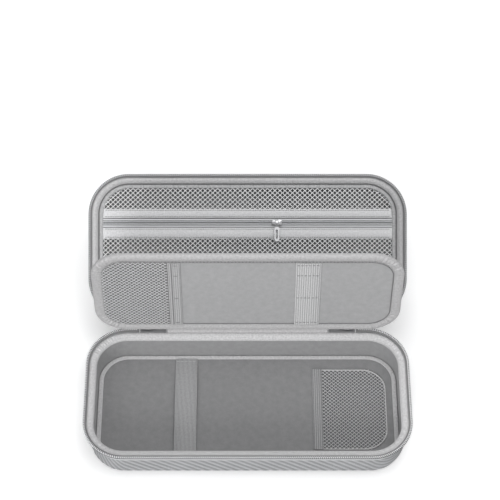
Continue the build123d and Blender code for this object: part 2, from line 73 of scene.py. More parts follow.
def rounded(along, inset, half_x, half_y, radius):
    """Point and outward normal on a rounded rectangle, taken in by inset.

    along is metres clockwise from the middle of the back, at the full size.  A centre slides
    along the straights of an inner rectangle and waits at its corners while the normal turns,
    and the point lies on that normal, the corner radius less the inset away.
    """
    side, end, quarter = half_x - radius, half_y - radius, math.pi / 2 * radius
    knots = np.cumsum([0, side, quarter, 2 * end, quarter, 2 * side, quarter, 2 * end, quarter, side])
    along = np.asarray(along, float) % knots[-1]
    x = np.interp(along, knots, np.array([0, 1, 1, 1, 1, -1, -1, -1, -1, 0]) * side)
    y = np.interp(along, knots, np.array([1, 1, 1, -1, -1, -1, -1, 1, 1, 1]) * end)
    turn = np.interp(along, knots, np.array([1, 1, 0, 0, -1, -1, -2, -2, -3, -3]) * math.pi / 2)
    normal = np.stack([np.cos(turn), np.sin(turn)], -1)
    return np.stack([x, y], -1) + (radius - inset)[..., None] * normal, normal


def rim(along, inset):
    """Point and outward normal on the case's own rounded outline, at the zip, taken in by inset."""
    return rounded(along, inset, HALF_L, HALF_W, CORNER_R)


def tray_profile(inset, depth, radius, steps):
    """(inset, height, outward, down) down a tray's wall and round into its flat.

    A leaning straight line, then a circular arc that is tangent to it and to the flat.
    """
    wall_n, arc_n = steps
    centre_drop = depth - radius
    centre_inset = inset + (centre_drop - LIP_DROP) * math.tan(DRAFT) + radius / math.cos(DRAFT)
    lean = np.linspace(DRAFT, math.pi / 2, arc_n)
    arc = np.stack([centre_inset - radius * np.cos(lean), -centre_drop - radius * np.sin(lean),
                    np.cos(lean), np.sin(lean)], -1)
    share = np.linspace(0, 1, wall_n, endpoint=False)[:, None]
    lip = np.array([inset, -LIP_DROP, math.cos(DRAFT), math.sin(DRAFT)])
    return np.concatenate([lip + share * (arc[0] - lip), arc])


def tray_grid(profile, columns, flat_rows):
    """Grid over one face of a tray, from its lip to the middle line of its flat.

    Rows follow the profile down to the flat, then shrink straight towards the middle line.
    Also returns the unrolled cloth: the flat's own plan, carried on outwards round the edge.
    """
    along = np.arange(columns) * RIM_LENGTH / columns
    plan, normal = rim(along[:, None], np.broadcast_to(profile[:, 0], (columns, len(profile))))
    normal = np.broadcast_to(normal, plan.shape)
    height = np.broadcast_to(profile[:, 1:2].T, plan.shape[:2])
    points = np.concatenate([plan, height[..., None]], -1)
    outward = np.concatenate([normal * profile[:, 2:3],
                              np.broadcast_to(-profile[:, 3:4], (*plan.shape[:2], 1))], -1)
    run = np.hypot(*np.diff(profile[:, :2], axis=0).T)
    beyond = np.append(np.cumsum(run[::-1])[::-1], 0)
    unrolled = plan[:, -1:] + normal * beyond[:, None]
    ring = points[:, -1:]
    spine_x = np.clip(ring[..., 0], HALF_W - HALF_L, HALF_L - HALF_W)
    middle = np.stack([spine_x, np.zeros_like(spine_x), ring[..., 2]], -1)
    share = np.linspace(0, 1, flat_rows + 1)[1:, None]
    flat = ring + share * (middle - ring)
    down = np.broadcast_to([0, 0, -1.0], flat.shape)
    return (np.concatenate([points, flat], 1), np.concatenate([outward, down], 1),
            np.concatenate([unrolled, flat[..., :2]], 1))


def skin(grid, cloth, wrap_u=False, wrap_v=False):
    """Quads between neighbouring points of a grid, with the cloth coordinates of their corners."""
    nu, nv = grid.shape[:2]
    i, j = np.meshgrid(np.arange(nu - 1 + wrap_u), np.arange(nv - 1 + wrap_v), indexing="ij")
    corners = [(i, j), (i + 1, j), (i + 1, j + 1), (i, j + 1)]
    quads = np.stack([(a % nu) * nv + b % nv for a, b in corners], -1).reshape(-1, 4)
    if wrap_u and len(cloth) == nu:
        cloth = np.concatenate([cloth, cloth[:1]], 0)
    uv = np.stack([cloth[a, b] for a, b in corners], -2).reshape(-1, 2)
    return grid.reshape(-1, 3), quads, uv


def together(parts):
    """Several lots of points, quads and cloth coordinates as one: each lot's quads move up by
    the count of the points before it.
    """
    starts = np.cumsum([0] + [len(points) for points, _, _ in parts])
    return (np.concatenate([part[0] for part in parts]),
            np.concatenate([part[1] + start for part, start in zip(parts, starts)]),
            np.concatenate([part[2] for part in parts]))


def turned(points, line, angle):
    """Points turned about a line that runs along X through the given place.

    From that place, y becomes y cosine less z sine, and z becomes y sine plus z cosine.
    """
    out = np.array(points, float)
    y, z = out[..., 1] - line[1], out[..., 2] - line[2]
    out[..., 1] = line[1] + y * math.cos(angle) - z * math.sin(angle)
    out[..., 2] = line[2] + y * math.sin(angle) + z * math.cos(angle)
    return out


def on_base(points):
    """From the plane where the shut halves meet to its height in the base: z plus that height."""
    return np.asarray(points, float) + [0, 0, PLANE_Z]


def on_spine(points):
    """As on_base, then turned back about the base's fold line by the angle that shuts it."""
    return turned(on_base(points), BASE_FOLD, -SHUT)


def on_lid(points):
    """A half's shape with z negated, then turned by the shut angle about each of the two folds."""
    flipped = np.asarray(points, float) * [1, 1, -1]
    return turned(turned(on_base(flipped), turned(LID_FOLD, BASE_FOLD, SHUT), -SHUT), BASE_FOLD, -SHUT)


def piece(name, parts, place, material, body, nodes=(), sharp=50):
    """One mesh object from closed parts, each turned so that its faces point outwards.

    The triple products of the quads' corners add up to a part's volume, and where the sum is
    negative its quads are reversed.
    """
    lots = []
    for points, quads, uv in parts:
        points = place(points)
        a, b, c, d = (points[quads[:, k]] for k in range(4))
        volume = np.einsum("ij,ij->", a, np.cross(b, c)) + np.einsum("ij,ij->", a, np.cross(c, d))
        if volume < 0:
            quads, uv = quads[:, ::-1], uv.reshape(-1, 4, 2)[:, ::-1].reshape(-1, 2)
        lots.append((points, quads, uv))
    points, quads, uv = together(lots)
    mesh = bpy.data.meshes.new(name)
    mesh.vertices.add(len(points))
    mesh.vertices.foreach_set("co", points.astype(np.float32).ravel())
    mesh.loops.add(quads.size)
    mesh.loops.foreach_set("vertex_index", quads.astype(np.int32).ravel())
    mesh.polygons.add(len(quads))
    mesh.polygons.foreach_set("loop_start", np.arange(0, quads.size, 4, dtype=np.int32))
    mesh.update(calc_edges=True)
    layer = mesh.uv_layers.new(name="cloth")
    layer.data.foreach_set("uv", uv.astype(np.float32).ravel())
    work = bmesh.new()
    work.from_mesh(mesh)
    bmesh.ops.remove_doubles(work, verts=work.verts, dist=0.004 * MM)
    bmesh.ops.dissolve_degenerate(work, edges=work.edges, dist=0.002 * MM)
    work.to_mesh(mesh)
    work.free()
    mesh.shade_smooth()
    mesh.set_sharp_from_angle(angle=math.radians(sharp))
    made = bpy.data.objects.new(name, mesh)
    bpy.context.scene.collection.objects.link(made)
    mesh.materials.append(material)
    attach(made, body)
    if nodes:
        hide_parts(*nodes)
    return made


class Number:
    """A number that varies over a surface; arithmetic on it adds Math nodes."""

    def __init__(self, finish, socket):
        """Keep the node output that carries the number, and the finish it belongs to."""
        self.finish, self.socket = finish, socket

    def math(self, operation, *others):
        """A Math node that applies the operation to this number and the others."""
        return self.finish.add("ShaderNodeMath", {"operation": operation}, [self, *others])

    def __add__(self, other):
        """This number plus the other."""
        return self.math("ADD", other)

    def __sub__(self, other):
        """This number less the other."""
        return self.math("SUBTRACT", other)

    def __rsub__(self, other):
        """The other less this number."""
        return self.finish.add("ShaderNodeMath", {"operation": "SUBTRACT"}, [other, self])

    def __mul__(self, other):
        """This number times the other."""
        return self.math("MULTIPLY", other)

    def __truediv__(self, other):
        """This number divided by the other."""
        return self.math("DIVIDE", other)

    __radd__, __rmul__ = __add__, __mul__

    def wave(self, pitch):
        """0 to 1 and back once every pitch: half a sine plus a half."""
        return (self * (2 * math.pi / pitch)).math("SINE") * 0.5 + 0.5


class Finish:
    """A material in the making: one Principled shader and whatever feeds it."""

    def __init__(self, name, **fixed):
        """A new material; an underscore in a fixed socket's name stands for a space."""
        self.material = bpy.data.materials.new(name)
        self.material.use_nodes = True
        self.tree = self.material.node_tree
        self.shader = self.tree.nodes["Principled BSDF"]
        for socket, value in fixed.items():
            self.shader.inputs[socket.replace("_", " ")].default_value = value

    def add(self, kind, settings=None, inputs=(), output=0):
        """Any node: its settings first, then the values or links of its sockets."""
        node = self.tree.nodes.new(kind)
        for key, value in (settings or {}).items():
            setattr(node, key, value)
        items = inputs.items() if isinstance(inputs, dict) else enumerate(inputs)
        for key, value in items:
            if isinstance(value, Number):
                self.tree.links.new(value.socket, node.inputs[key])
            else:
                node.inputs[key].default_value = value
        return Number(self, node.outputs[output])

    def place(self, source="UV"):
        """The cloth coordinates in metres, or the object's own, as a vector and its parts."""
        vector = self.add("ShaderNodeTexCoord", output=source)
        return vector, *[self.add("ShaderNodeSeparateXYZ", None, [vector], axis) for axis in (0, 1, 2)]

    def noise(self, vector, size, detail=2.0, rough=0.5):
        """Fractal noise whose largest grains are about size across, in metres."""
        return self.add("ShaderNodeTexNoise", None,
                        {"Vector": vector, "Scale": 1 / size, "Detail": detail, "Roughness": rough})

    def blend(self, factor, low, high):
        """Colour between two, mixed in a straight line by a number."""
        node = self.add("ShaderNodeMix", {"data_type": "RGBA"}, {"Factor": factor}, 2)
        for key, value in ((6, low), (7, high)):
            socket = node.socket.node.inputs[key]
            if isinstance(value, Number):
                self.tree.links.new(value.socket, socket)
            else:
                socket.default_value = (*value, 1)
        return node

    def feed(self, socket, value):
        """Let a number drive one of the shader's sockets."""
        self.tree.links.new(value.socket, self.shader.inputs[socket])

    def bump(self, height, depth):
        """Raise the surface by height times depth, in metres."""
        self.feed("Normal", self.add("ShaderNodeBump", None,
                                     {"Height": height, "Distance": depth, "Strength": 1.0}))


def ribs_across(u, v, mirror):
    """Distance across the ribs: u times the sine of their slant plus v times its cosine."""
    return mirror * u * math.sin(RIB_SLANT) + v * math.cos(RIB_SLANT)


def shell_finish(name, mirror):
    """Silver coated cloth: light and grey ribs with ragged edges, and a fine sparkle.

    The ribs are a sine of the distance across them plus a noise; the crests are light and the
    hollows grey, partly the cloth's own two-tone pattern and partly painted sheen and painted
    shade.  The sparkle is a finer noise.
    """
    coat = Finish(name, Metallic=0.25, Specular_IOR_Level=0.5)
    vector, u, v, _ = coat.place()
    grain = coat.noise(vector, 0.75 * MM, 2, 0.6)
    ragged = coat.noise(vector, 1.7 * MM, 2)
    steps = (u * math.cos(RIB_SLANT) - v * (mirror * math.sin(RIB_SLANT))).wave(1.5 * MM)
    across = ribs_across(u, v, mirror) + (ragged - 0.5) * (2.2 * MM) + (steps - 0.5) * (0.5 * MM)
    rib = across.wave(RIB_PITCH)
    cloud = coat.noise(vector, 24 * MM, 2)
    # Light crests and grey hollows: partly the cloth's pattern, partly painted sheen and shade of the ribs.
    tone = rib * 0.8 + (grain - 0.5) * 1.5 + (cloud - 0.5) * 0.3 + (steps - 0.5) * 0.16 + 0.08
    colour = coat.blend(tone, (0.31, 0.315, 0.325), (0.66, 0.665, 0.68))
    coat.feed("Base Color", colour)
    coat.feed("Roughness", 0.36 + grain * 0.22)
    coat.bump(grain * 0.5 + rib * 0.5, 0.16 * MM)
    return coat.material


SHELL_COLUMNS, SHELL_WALL, SHELL_ROUND, SHELL_FLAT = 660, 18, 12, 42
RIB_FADE = 4 * MM


def shell(name, depth, thick, place, body, mirror):
    """Tray with ribbed cloth outside and a plain inside one thickness in.

    The ribs are a sine of the distance across them, raised to a power so that the crests are
    broad, sunk along the outward normal and faded out towards the sewn tape.
    """
    outside = tray_profile(LIP_INSET, depth, EDGE_R, (SHELL_WALL, SHELL_ROUND))
    grid, outward, cloth = tray_grid(outside, SHELL_COLUMNS, SHELL_FLAT)
    across = ribs_across(cloth[..., 0], cloth[..., 1], mirror)
    hollow = (0.5 - 0.5 * np.sin(2 * np.pi * across / RIB_PITCH)) ** 1.3
    below_seam = np.clip((-grid[..., 2] - TAPE_SEAM) / RIB_FADE, 0, 1)
    grid = grid - outward * (RIB_DEPTH * hollow * below_seam)[..., None]
    inside = tray_profile(LIP_INSET + thick, depth - thick, EDGE_R - thick, (4, 5))
    inner, _, inner_cloth = tray_grid(inside, SHELL_COLUMNS, 4)
    grid = np.concatenate([grid[:, ::-1], inner], 1)
    cloth = np.concatenate([cloth[:, ::-1], inner_cloth], 1)
    return piece(name + "_skin", [skin(grid, cloth, wrap_u=True)], place,
                 shell_finish("silver_" + name, mirror), body, [name])


shell("base_shell", BASE_DEPTH, BASE_SHELL_T, on_base, "base", -1)
shell("lid_shell", LID_DEPTH, LID_SHELL_T, on_lid, "lid", 1)

# ---- Linings ------------------------------------------------------------------------------
# Thin brushed knit laminated to the inside of each shell before moulding, so it follows the
# walls and corners closely and shows only a fine rib and a soft mottle.
KNIT = (0.43, 0.43, 0.435)


def knit_finish(name, light):
    """Grey brushed knit: a sine across and a sine along as wales and loops, and two noises."""
    knit = Finish(name, Roughness=0.92, Specular_IOR_Level=0.25, Sheen_Weight=0.25)
    vector, u, v, _ = knit.place()
    mottle = knit.noise(vector, 6 * MM, 4, 0.65)
    fluff = knit.noise(vector, 0.8 * MM, 3, 0.7)
    wales = u.wave(0.95 * MM) * 0.6 + v.wave(0.8 * MM) * 0.4
    tone = (mottle - 0.5) * 0.9 + (fluff - 0.5) * 0.9 + wales * 0.3 + 0.35
    low, high = (tuple(light * share * c for c in KNIT) for share in (0.8, 1.25))
    knit.feed("Base Color", knit.blend(tone, low, high))
    knit.bump(wales * 0.6 + fluff * 0.5, 0.12 * MM)
    return knit.material


LINING_COLUMNS, LINING_WALL, LINING_ROUND, LINING_FLAT = 330, 8, 9, 9


def lining(name, depth, shell_t, place, body, knit):
    """A thin tray: its outside lies on the shell, its inside is one cloth thickness in.

    For each face the inset grows, and the depth and the edge radius shrink, by the same step.
    """
    faces = []
    for step in (LINING_T, 0):
        inset = LIP_INSET + shell_t + step
        profile = tray_profile(inset, depth - shell_t - step, EDGE_R - shell_t - step,
                               (LINING_WALL, LINING_ROUND))
        faces.append(tray_grid(profile, LINING_COLUMNS, LINING_FLAT))
    inner, outer = faces
    grid = np.concatenate([inner[0][:, ::-1], outer[0]], 1)
    cloth = np.concatenate([inner[2][:, ::-1], outer[2]], 1)
    return piece(name + "_knit", [skin(grid, cloth, wrap_u=True)], place, knit, body, [name])


lining("base_lining", BASE_DEPTH, BASE_SHELL_T, on_base, "base", knit_finish("brushed_knit", 0.72))
# The lid's knit is a little darker than the base's: painted shade inside the net pocket.
lining("lid_lining", LID_DEPTH, LID_SHELL_T, on_lid, "lid", knit_finish("pocket_shade_knit", 0.66))

# ---- Rim bindings -------------------------------------------------------------------------
# A soft woven ribbon rolled over each lip and sewn down, which hides the raw foam.  The
# sewing pulls it into small puckers, deeper where it is eased round the corners.
BINDING_OUT, BINDING_W = 3.6 * MM, 5.2 * MM
BINDING_DROP, BINDING_LEG, BINDING_OVER = 3.0 * MM, 1.4 * MM, 1.1 * MM
PUCKER, PUCKER_PITCH, LONG_PUCKER_PITCH = 0.3 * MM, 3.1 * MM, 7.9 * MM
RIBBON = (0.57, 0.565, 0.57)


def ribbon_finish(name, colour=RIBBON):
    """Woven ribbon: a sine along and a sine across as its weave, mottled by a coarser noise."""
    ribbon = Finish(name, Roughness=0.62, Specular_IOR_Level=0.4, Sheen_Weight=0.35)
    vector, u, v, _ = ribbon.place()
    weave = u.wave(0.62 * MM) * 0.55 + v.wave(0.5 * MM) * 0.45
    slub = ribbon.noise(vector, 1.9 * MM, 4, 0.7)
    tone = weave * 0.3 + (slub - 0.5) * 2.2 + 0.35
    low, high = (tuple(share * c for c in colour) for share in (0.76, 1.2))
    ribbon.feed("Base Color", ribbon.blend(tone, low, high))
    ribbon.bump(weave * 0.7 + slub * 0.6, 0.1 * MM)
    return ribbon.material


ribbon_weave = ribbon_finish("binding_ribbon")


def squared_off(wave, power):
    """A sine or cosine with its size raised to a power and its sign kept, as superellipses use."""
    return np.sign(wave) * np.abs(wave) ** power


def roll_section(steps, width, fall):
    """Closed section of a rolled binding, as (inset, height).

    A superellipse's upper half, whose inner side is lowered by fall as a power of the cosine,
    closed by a short leg down its inside.
    """
    turn = np.linspace(0, math.pi, steps)
    half = (width + BINDING_OVER) / 2
    rise = LIP_DROP - BINDING_DROP
    dome_inset = BINDING_OUT - BINDING_OVER + half - half * squared_off(np.cos(turn), 0.8)
    dome_rise = rise * np.sin(turn) ** 0.7 * (1 - fall * np.clip(-np.cos(turn), 0, 1) ** 1.1)
    dome = np.stack([dome_inset, -LIP_DROP + dome_rise], -1)
    leg_in = BINDING_OUT + width
    leg = np.array([[leg_in, -LIP_DROP - BINDING_LEG], [leg_in - 1.3 * MM, -LIP_DROP - BINDING_LEG],
                    [leg_in - 1.4 * MM, -LIP_DROP]])
    return np.concatenate([dome, leg])


def run_round(section, along, wobble=0.0):
    """Sections of (inset, height) points carried along the rim: each inset is measured inwards
    from the rim at that place, and wobble is added to the heights.
    """
    shape = (len(along), len(section))
    plan, _ = rim(along[:, None], np.broadcast_to(section[:, 0], shape))
    height = np.broadcast_to(section[:, 1] + wobble, shape)
    return np.concatenate([plan, height[..., None]], -1)


def sleeve(grid, closed=False):
    """Closed skin round a row of sections, with cloth coordinates along and around it.

    The coordinates are running sums: of the distances between the sections' middles, and of
    the mean distances between neighbours round them.  An open row has each end drawn together
    to its middle.
    """
    middles = grid.mean(1)
    if closed:
        middles = np.concatenate([middles, middles[:1]])
    u = np.append(0, np.cumsum(np.linalg.norm(np.diff(middles, axis=0), axis=-1)))
    around = np.concatenate([grid, grid[:, :1]], 1)
    v = np.append(0, np.cumsum(np.linalg.norm(np.diff(around, axis=1), axis=-1).mean(0)))
    if not closed:
        ends = [np.broadcast_to(row.mean(0), row.shape)[None] for row in (grid[0], grid[-1])]
        grid = np.concatenate([ends[0], grid, ends[1]])
        u = np.concatenate([u[:1] - MM, u, u[-1:] + MM])
    cloth = np.stack(np.meshgrid(u, v, indexing="ij"), -1)
    return skin(grid, cloth, wrap_u=closed, wrap_v=True)


def tubes(paths, radius, sides, across):
    """Tubes round several paths, with closed ends; across is a direction no path runs in.

    A ring of points at each path point, in the plane of across and the path's normal to it.
    """
    paths = np.asarray(paths, float)
    along = np.gradient(paths, axis=1)
    along /= np.linalg.norm(along, axis=-1, keepdims=True)
    side = np.cross(along, np.broadcast_to(across, paths.shape))
    side /= np.linalg.norm(side, axis=-1, keepdims=True)
    up = np.cross(side, along)
    turn = np.arange(sides) * 2 * math.pi / sides + math.pi / sides
    ring = np.cos(turn)[:, None] * side[..., None, :] + np.sin(turn)[:, None] * up[..., None, :]
    radius = np.broadcast_to(np.asarray(radius, float), paths.shape[:2])[..., None, None]
    points = paths[..., None, :] + radius * ring
    count, length = paths.shape[:2]
    lot, i, j = np.meshgrid(np.arange(count), np.arange(length - 1), np.arange(sides), indexing="ij")
    corners = [(i, j), (i + 1, j), (i + 1, j + 1), (i, j + 1)]
    walls = np.stack([lot * length * sides + a * sides + b % sides for a, b in corners], -1).reshape(-1, 4)
    fan = np.array([[0, k, k + 1, k + 2] for k in range(1, sides - 2, 2)])
    starts = (np.arange(count) * length * sides)[:, None, None]
    near = (fan[None, :, ::-1] + starts).reshape(-1, 4)
    far = (fan[None] + starts + (length - 1) * sides).reshape(-1, 4)
    quads = np.concatenate([walls, near, far])
    run = np.linalg.norm(np.diff(paths, axis=1), axis=-1).cumsum(1)
    run = np.concatenate([np.zeros((count, 1)), run], 1)[..., None]
    around = np.arange(sides) * (2 * math.pi / sides * radius[0, 0, 0, 0])
    cloth = np.stack(np.broadcast_arrays(run, around), -1).reshape(-1, 2)
    return points.reshape(-1, 3), quads, cloth[quads.ravel()]


THREAD_R = 0.24 * MM


def stitches(ends, lift):
    """Rows of sewn thread: each stitch dips into the cloth at both ends and bows out between.

    Its path is the straight line between its ends plus, at five places, a bow in thread radii.
    """
    start, stop = ends
    share = np.array([0, 0.12, 0.5, 0.88, 1.0])[None, :, None]
    bow = np.array([-1.2, 0.1, 0.7, 0.1, -1.2])[None, :, None] * THREAD_R
    paths = start[:, None] + share * (stop - start)[:, None] + bow * lift
    radius = np.array([0.6, 1, 1.05, 1, 0.6]) * THREAD_R
    return tubes(paths, radius, 4, lift)


STITCH_PITCH, STITCH_SHARE = 3.1 * MM, 0.74


def rim_stitches(inset, height, start=0.0, stop=None):
    """A row of stitches that follows the rim, as many as its run holds at the stitch pitch."""
    stop = RIM_LENGTH if stop is None else stop
    count = int((stop - start) / STITCH_PITCH)
    at = start + (stop - start) / count * np.arange(count)
    ends = []
    for shift in (0, STITCH_PITCH * STITCH_SHARE):
        plan, _ = rim(at + shift, np.full(count, inset))
        ends.append(np.concatenate([plan, np.full((count, 1), height)], 1))
    return stitches(ends, np.array([0, 0, 1.0]))


sewing_thread = Finish("sewing_thread", Roughness=0.55, Base_Color=(0.52, 0.52, 0.525, 1),
                       Sheen_Weight=0.3).material
BINDING_COLUMNS = 1040
binding_along = np.arange(BINDING_COLUMNS) * RIM_LENGTH / BINDING_COLUMNS
_, corner_normal = rim(binding_along, np.zeros(BINDING_COLUMNS))
in_corner = 4 * np.abs(corner_normal[:, 0] * corner_normal[:, 1])
ruck = np.sin(2 * np.pi * binding_along / PUCKER_PITCH)
ruck = ruck + 0.7 * np.sin(2 * np.pi * binding_along / LONG_PUCKER_PITCH)
for half, place, width, fall in (("base", on_base, BINDING_W + MM, 0.3), ("lid", on_lid, BINDING_W, 0.62)):
    section = roll_section(17, width, fall)
    crown_only = np.clip((section[:, 1] + LIP_DROP) / (LIP_DROP - BINDING_DROP), 0, 1)
    crown_only *= np.where(section[:, 0] > BINDING_OUT + 2 * MM, 1, 0.4)
    puckers = PUCKER * (0.35 + 0.5 * in_corner)[:, None] * ruck[:, None] * crown_only - PUCKER * crown_only
    roll = sleeve(run_round(section, binding_along, puckers), closed=True)
    piece(half + "_rim_ribbon", [roll], place, ribbon_weave, half, [half + "_rim_binding"])
    piece(half + "_rim_sewing",
          [rim_stitches(BINDING_OUT + width - 1.0 * MM, -4.15 * MM - 0.5 * fall * MM)], place,
          sewing_thread, half)

# ---- Zip round the halves -----------------------------------------------------------------
# Each half carries a woven tape, sewn to its wall and leaning out to the meeting plane, with
# one row of nylon coil wound on a cord along its edge; the cord is dark as painted shade between
# the loops.  Darker strips in the crease beside the coil and along its rim under it are painted
# shade.  The tape stops where the spine begins.
TEETH_W, TEETH_H, TAPE_T = 1.9 * MM, 2 * MM, 0.8 * MM
FOLD_GAP, SEW_GAP = 0.35 * MM, 0.1 * MM
BACK_RUN, ZIP_END_L = 10.4 * MM, 24 * MM
SPINE_HALF = HALF_L - CORNER_R - BACK_RUN
COVER_HALF = SPINE_HALF - ZIP_END_L
ZIP_START = SPINE_HALF + FOLD_GAP
COIL_PITCH, COIL_STEPS = 1.8 * MM, 10


def tape_finish(name, light, dark, rib=1.1 * MM):
    """Woven tape: long ribs as a sine across its run, crossed by a finer sine along it."""
    tape = Finish(name, Roughness=0.7, Specular_IOR_Level=0.35, Sheen_Weight=0.2)
    vector, u, v, _ = tape.place()
    weave = u.wave(0.55 * MM) * 0.4 + v.wave(rib) * 0.6
    slub = tape.noise(vector, 1.3 * MM, 3, 0.65)
    tape.feed("Base Color", tape.blend(weave * 0.5 + slub * 0.6 - 0.05, dark, light))
    tape.bump(weave * 0.8 + slub * 0.3, 0.12 * MM)
    return tape.material


silver_tape = tape_finish("silver_zip_tape", (0.88, 0.885, 0.90), (0.66, 0.665, 0.675))
nylon_coil = Finish("nylon_coil", Roughness=0.3, Base_Color=(0.86, 0.86, 0.87, 1),
                    Specular_IOR_Level=0.5).material
# The coil's core is dark so that the gaps between its loops read as shade: painted shade.
coil_shade_cord = Finish("coil_shade_cord", Roughness=0.8, Base_Color=(0.09, 0.09, 0.093, 1)).material
# Near-black strips: painted shade under the coil's rim, beside the pocket zip's coil rows and between the
# spine coil's loops.
dark_shade_cord = Finish("dark_shade_cord", Roughness=0.8, Base_Color=(0.06, 0.06, 0.063, 1)).material
# Mid-dark strips: painted shade in the crease beside the zip coil and in the divider's crease.
crease_shade_cord = Finish("crease_shade_cord", Roughness=0.8, Base_Color=(0.2, 0.2, 0.203, 1)).material


def helix(centre, side, up, reach, wire):
    """One coil of round wire along a row of centres.

    Its path turns once each COIL_STEPS centres: the centre plus reach[0] times the cosine to
    the side plus reach[1] times the sine up.
    """
    turn = np.arange(len(centre)) * 2 * math.pi / COIL_STEPS
    path = centre + (reach[0] * np.cos(turn))[:, None] * side + (reach[1] * np.sin(turn))[:, None] * up
    along = np.gradient(centre, axis=0)
    along /= np.linalg.norm(along, axis=-1, keepdims=True)
    return tubes([path], wire, 4, along[None])


zip_run = RIM_LENGTH - 2 * ZIP_START
tape_along = ZIP_START + np.linspace(0, zip_run, 700)
lip_lean = math.tan(DRAFT)
seam_inset = LIP_INSET + (TAPE_SEAM - LIP_DROP) * lip_lean
tip_drop = TEETH_GAP + TEETH_H
inner_face = [(seam_inset, -TAPE_SEAM), (LIP_INSET, -LIP_DROP), (TEETH_W - TAPE_T / 2, -tip_drop)]
outer_face = [(x - TAPE_T, y) for x, y in inner_face[::-1]]
tape_section = np.array(inner_face + outer_face)
dense = [np.linspace(a, b, 5, endpoint=False) for a, b in zip(tape_section, np.roll(tape_section, -1, 0))]
tape_section = np.concatenate(dense)
coil_turns = int(zip_run / COIL_PITCH)
coil_along = ZIP_START + np.linspace(COIL_PITCH, zip_run - COIL_PITCH, coil_turns * COIL_STEPS)
coil_inset = np.full(len(coil_along), TEETH_W / 2)
coil_plan, coil_out = rim(coil_along, coil_inset)
coil_z = -TEETH_GAP - TEETH_H / 2
coil_centre = np.column_stack([coil_plan, np.full(len(coil_plan), coil_z)])
coil_side = np.column_stack([coil_out, np.zeros(len(coil_out))])
zip_coil = helix(coil_centre, coil_side, np.array([0, 0, 1.0]), (0.72 * MM, 0.7 * MM), 0.44 * MM)
# The core's dark colour is painted shade between the loops; the crease strip beside the coil and the edge
# strip under it are painted shade.
core = np.array([(0.45, -0.45), (1.45, -0.45), (1.45, -1.6), (0.45, -1.6)]) * MM + [0, -TEETH_GAP]
crease = np.array([(2.0, -1.6), (3.3, -1.9), (3.3, -2.7), (2.0, -2.3)]) * MM + [0, -TEETH_GAP]
edge = np.array([(0.75, -2.05), (0.1, -2.25), (0.1, -2.65), (0.75, -2.75)]) * MM + [0, -TEETH_GAP]
zip_core, zip_crease, zip_edge = (sleeve(run_round(line, tape_along)) for line in (core, crease, edge))
for half, place in (("base", on_base), ("lid", on_lid)):
    piece(half + "_tape", [sleeve(run_round(tape_section, tape_along))], place, silver_tape, half,
          [half + "_zip_tape"])
    piece(half + "_coil", [zip_coil], place, nylon_coil, half, [half + "_zip_teeth"])
    piece(half + "_coil_shade_cord", [zip_core], place, coil_shade_cord, half)
    piece(half + "_coil_crease", [zip_crease], place, crease_shade_cord, half)
    piece(half + "_coil_edge", [zip_edge], place, dark_shade_cord, half)
    rows = [rim_stitches(TEETH_W - TAPE_T - 0.62 * MM, -tip_drop - 0.75 * MM, ZIP_START, ZIP_START + zip_run),
            rim_stitches(seam_inset - TAPE_T - 0.05 * MM, -TAPE_SEAM + 1.5 * MM, ZIP_START,
                         ZIP_START + zip_run)]
    piece(half + "_zip_sewing", rows, place, sewing_thread, half)

# ---- Floor of the base --------------------------------------------------------------------
# A pad with a turned-up, bound edge lies over a stiffener.  A ribbed elastic strap crosses
# it.  A round-cornered net pocket is sewn down at the right, with an elastic mouth, over a
# sheet of dark knit that is painted shade behind the net.
BOARD_T, PAD_T, PAD_INSET, PAD_ROUND = 1.8 * MM, 3 * MM, 10.1 * MM, 2 * MM
PAD_BINDING_W, PAD_BINDING_T = 4 * MM, 0.6 * MM
STRAP_X, STRAP_W, STRAP_T, STRAP_BOW = 91 * MM - HALF_L, 20.5 * MM, 1.2 * MM, 2.2 * MM
NET_T, ELASTIC_W, ELASTIC_T = 0.6 * MM, 9 * MM, 1.6 * MM
POCKET_MOUTH, POCKET_END = HALF_L - 88 * MM, HALF_L - 20 * MM
POCKET_HALF, POCKET_CORNER_R = 42 * MM, 21 * MM
PAD_LOW = BASE_SHELL_T + LINING_T + BOARD_T
PAD_TOP = PAD_LOW + PAD_T


def cushion(profile, columns, rows, half_x, half_y, radius, middle_y=0.0, crown=0.0):
    """Closed pad: (inset, height) points from under the edge, out and up on to the top, carried
    round the pad's rounded outline.

    Both flats are drawn in to a middle line in steps; crown lifts the top one as a parabola of
    the share of the way in, and lowers the under one alike.
    """
    length = 4 * (half_x + half_y) - (8 - 2 * math.pi) * radius
    along = np.arange(columns) * length / columns
    plan, _ = rounded(along[:, None], np.broadcast_to(profile[:, 0], (columns, len(profile))), half_x,
                      half_y, radius)
    height = np.broadcast_to(profile[:, 1], plan.shape[:2])
    grid = np.concatenate([plan, height[..., None]], -1)
    layers = []
    for ring, way in ((grid[:, 0], -1), (grid[:, -1], 1)):
        reach = max(half_x - half_y, 0)
        middle = np.stack([np.clip(ring[:, 0], -reach, reach), np.zeros(columns), ring[:, 2]], -1)
        share = np.linspace(0, 1, rows + 1)[1:]
        flat = ring[:, None] + share[:, None] * (middle - ring)[:, None]
        flat[..., 2] += way * crown * (1 - (1 - share) ** 2)
        layers.append(flat)
    grid = np.concatenate([layers[0][:, ::-1], grid, layers[1]], 1)
    grid[..., 1] += middle_y
    return skin(grid, grid[..., :2], wrap_u=True)


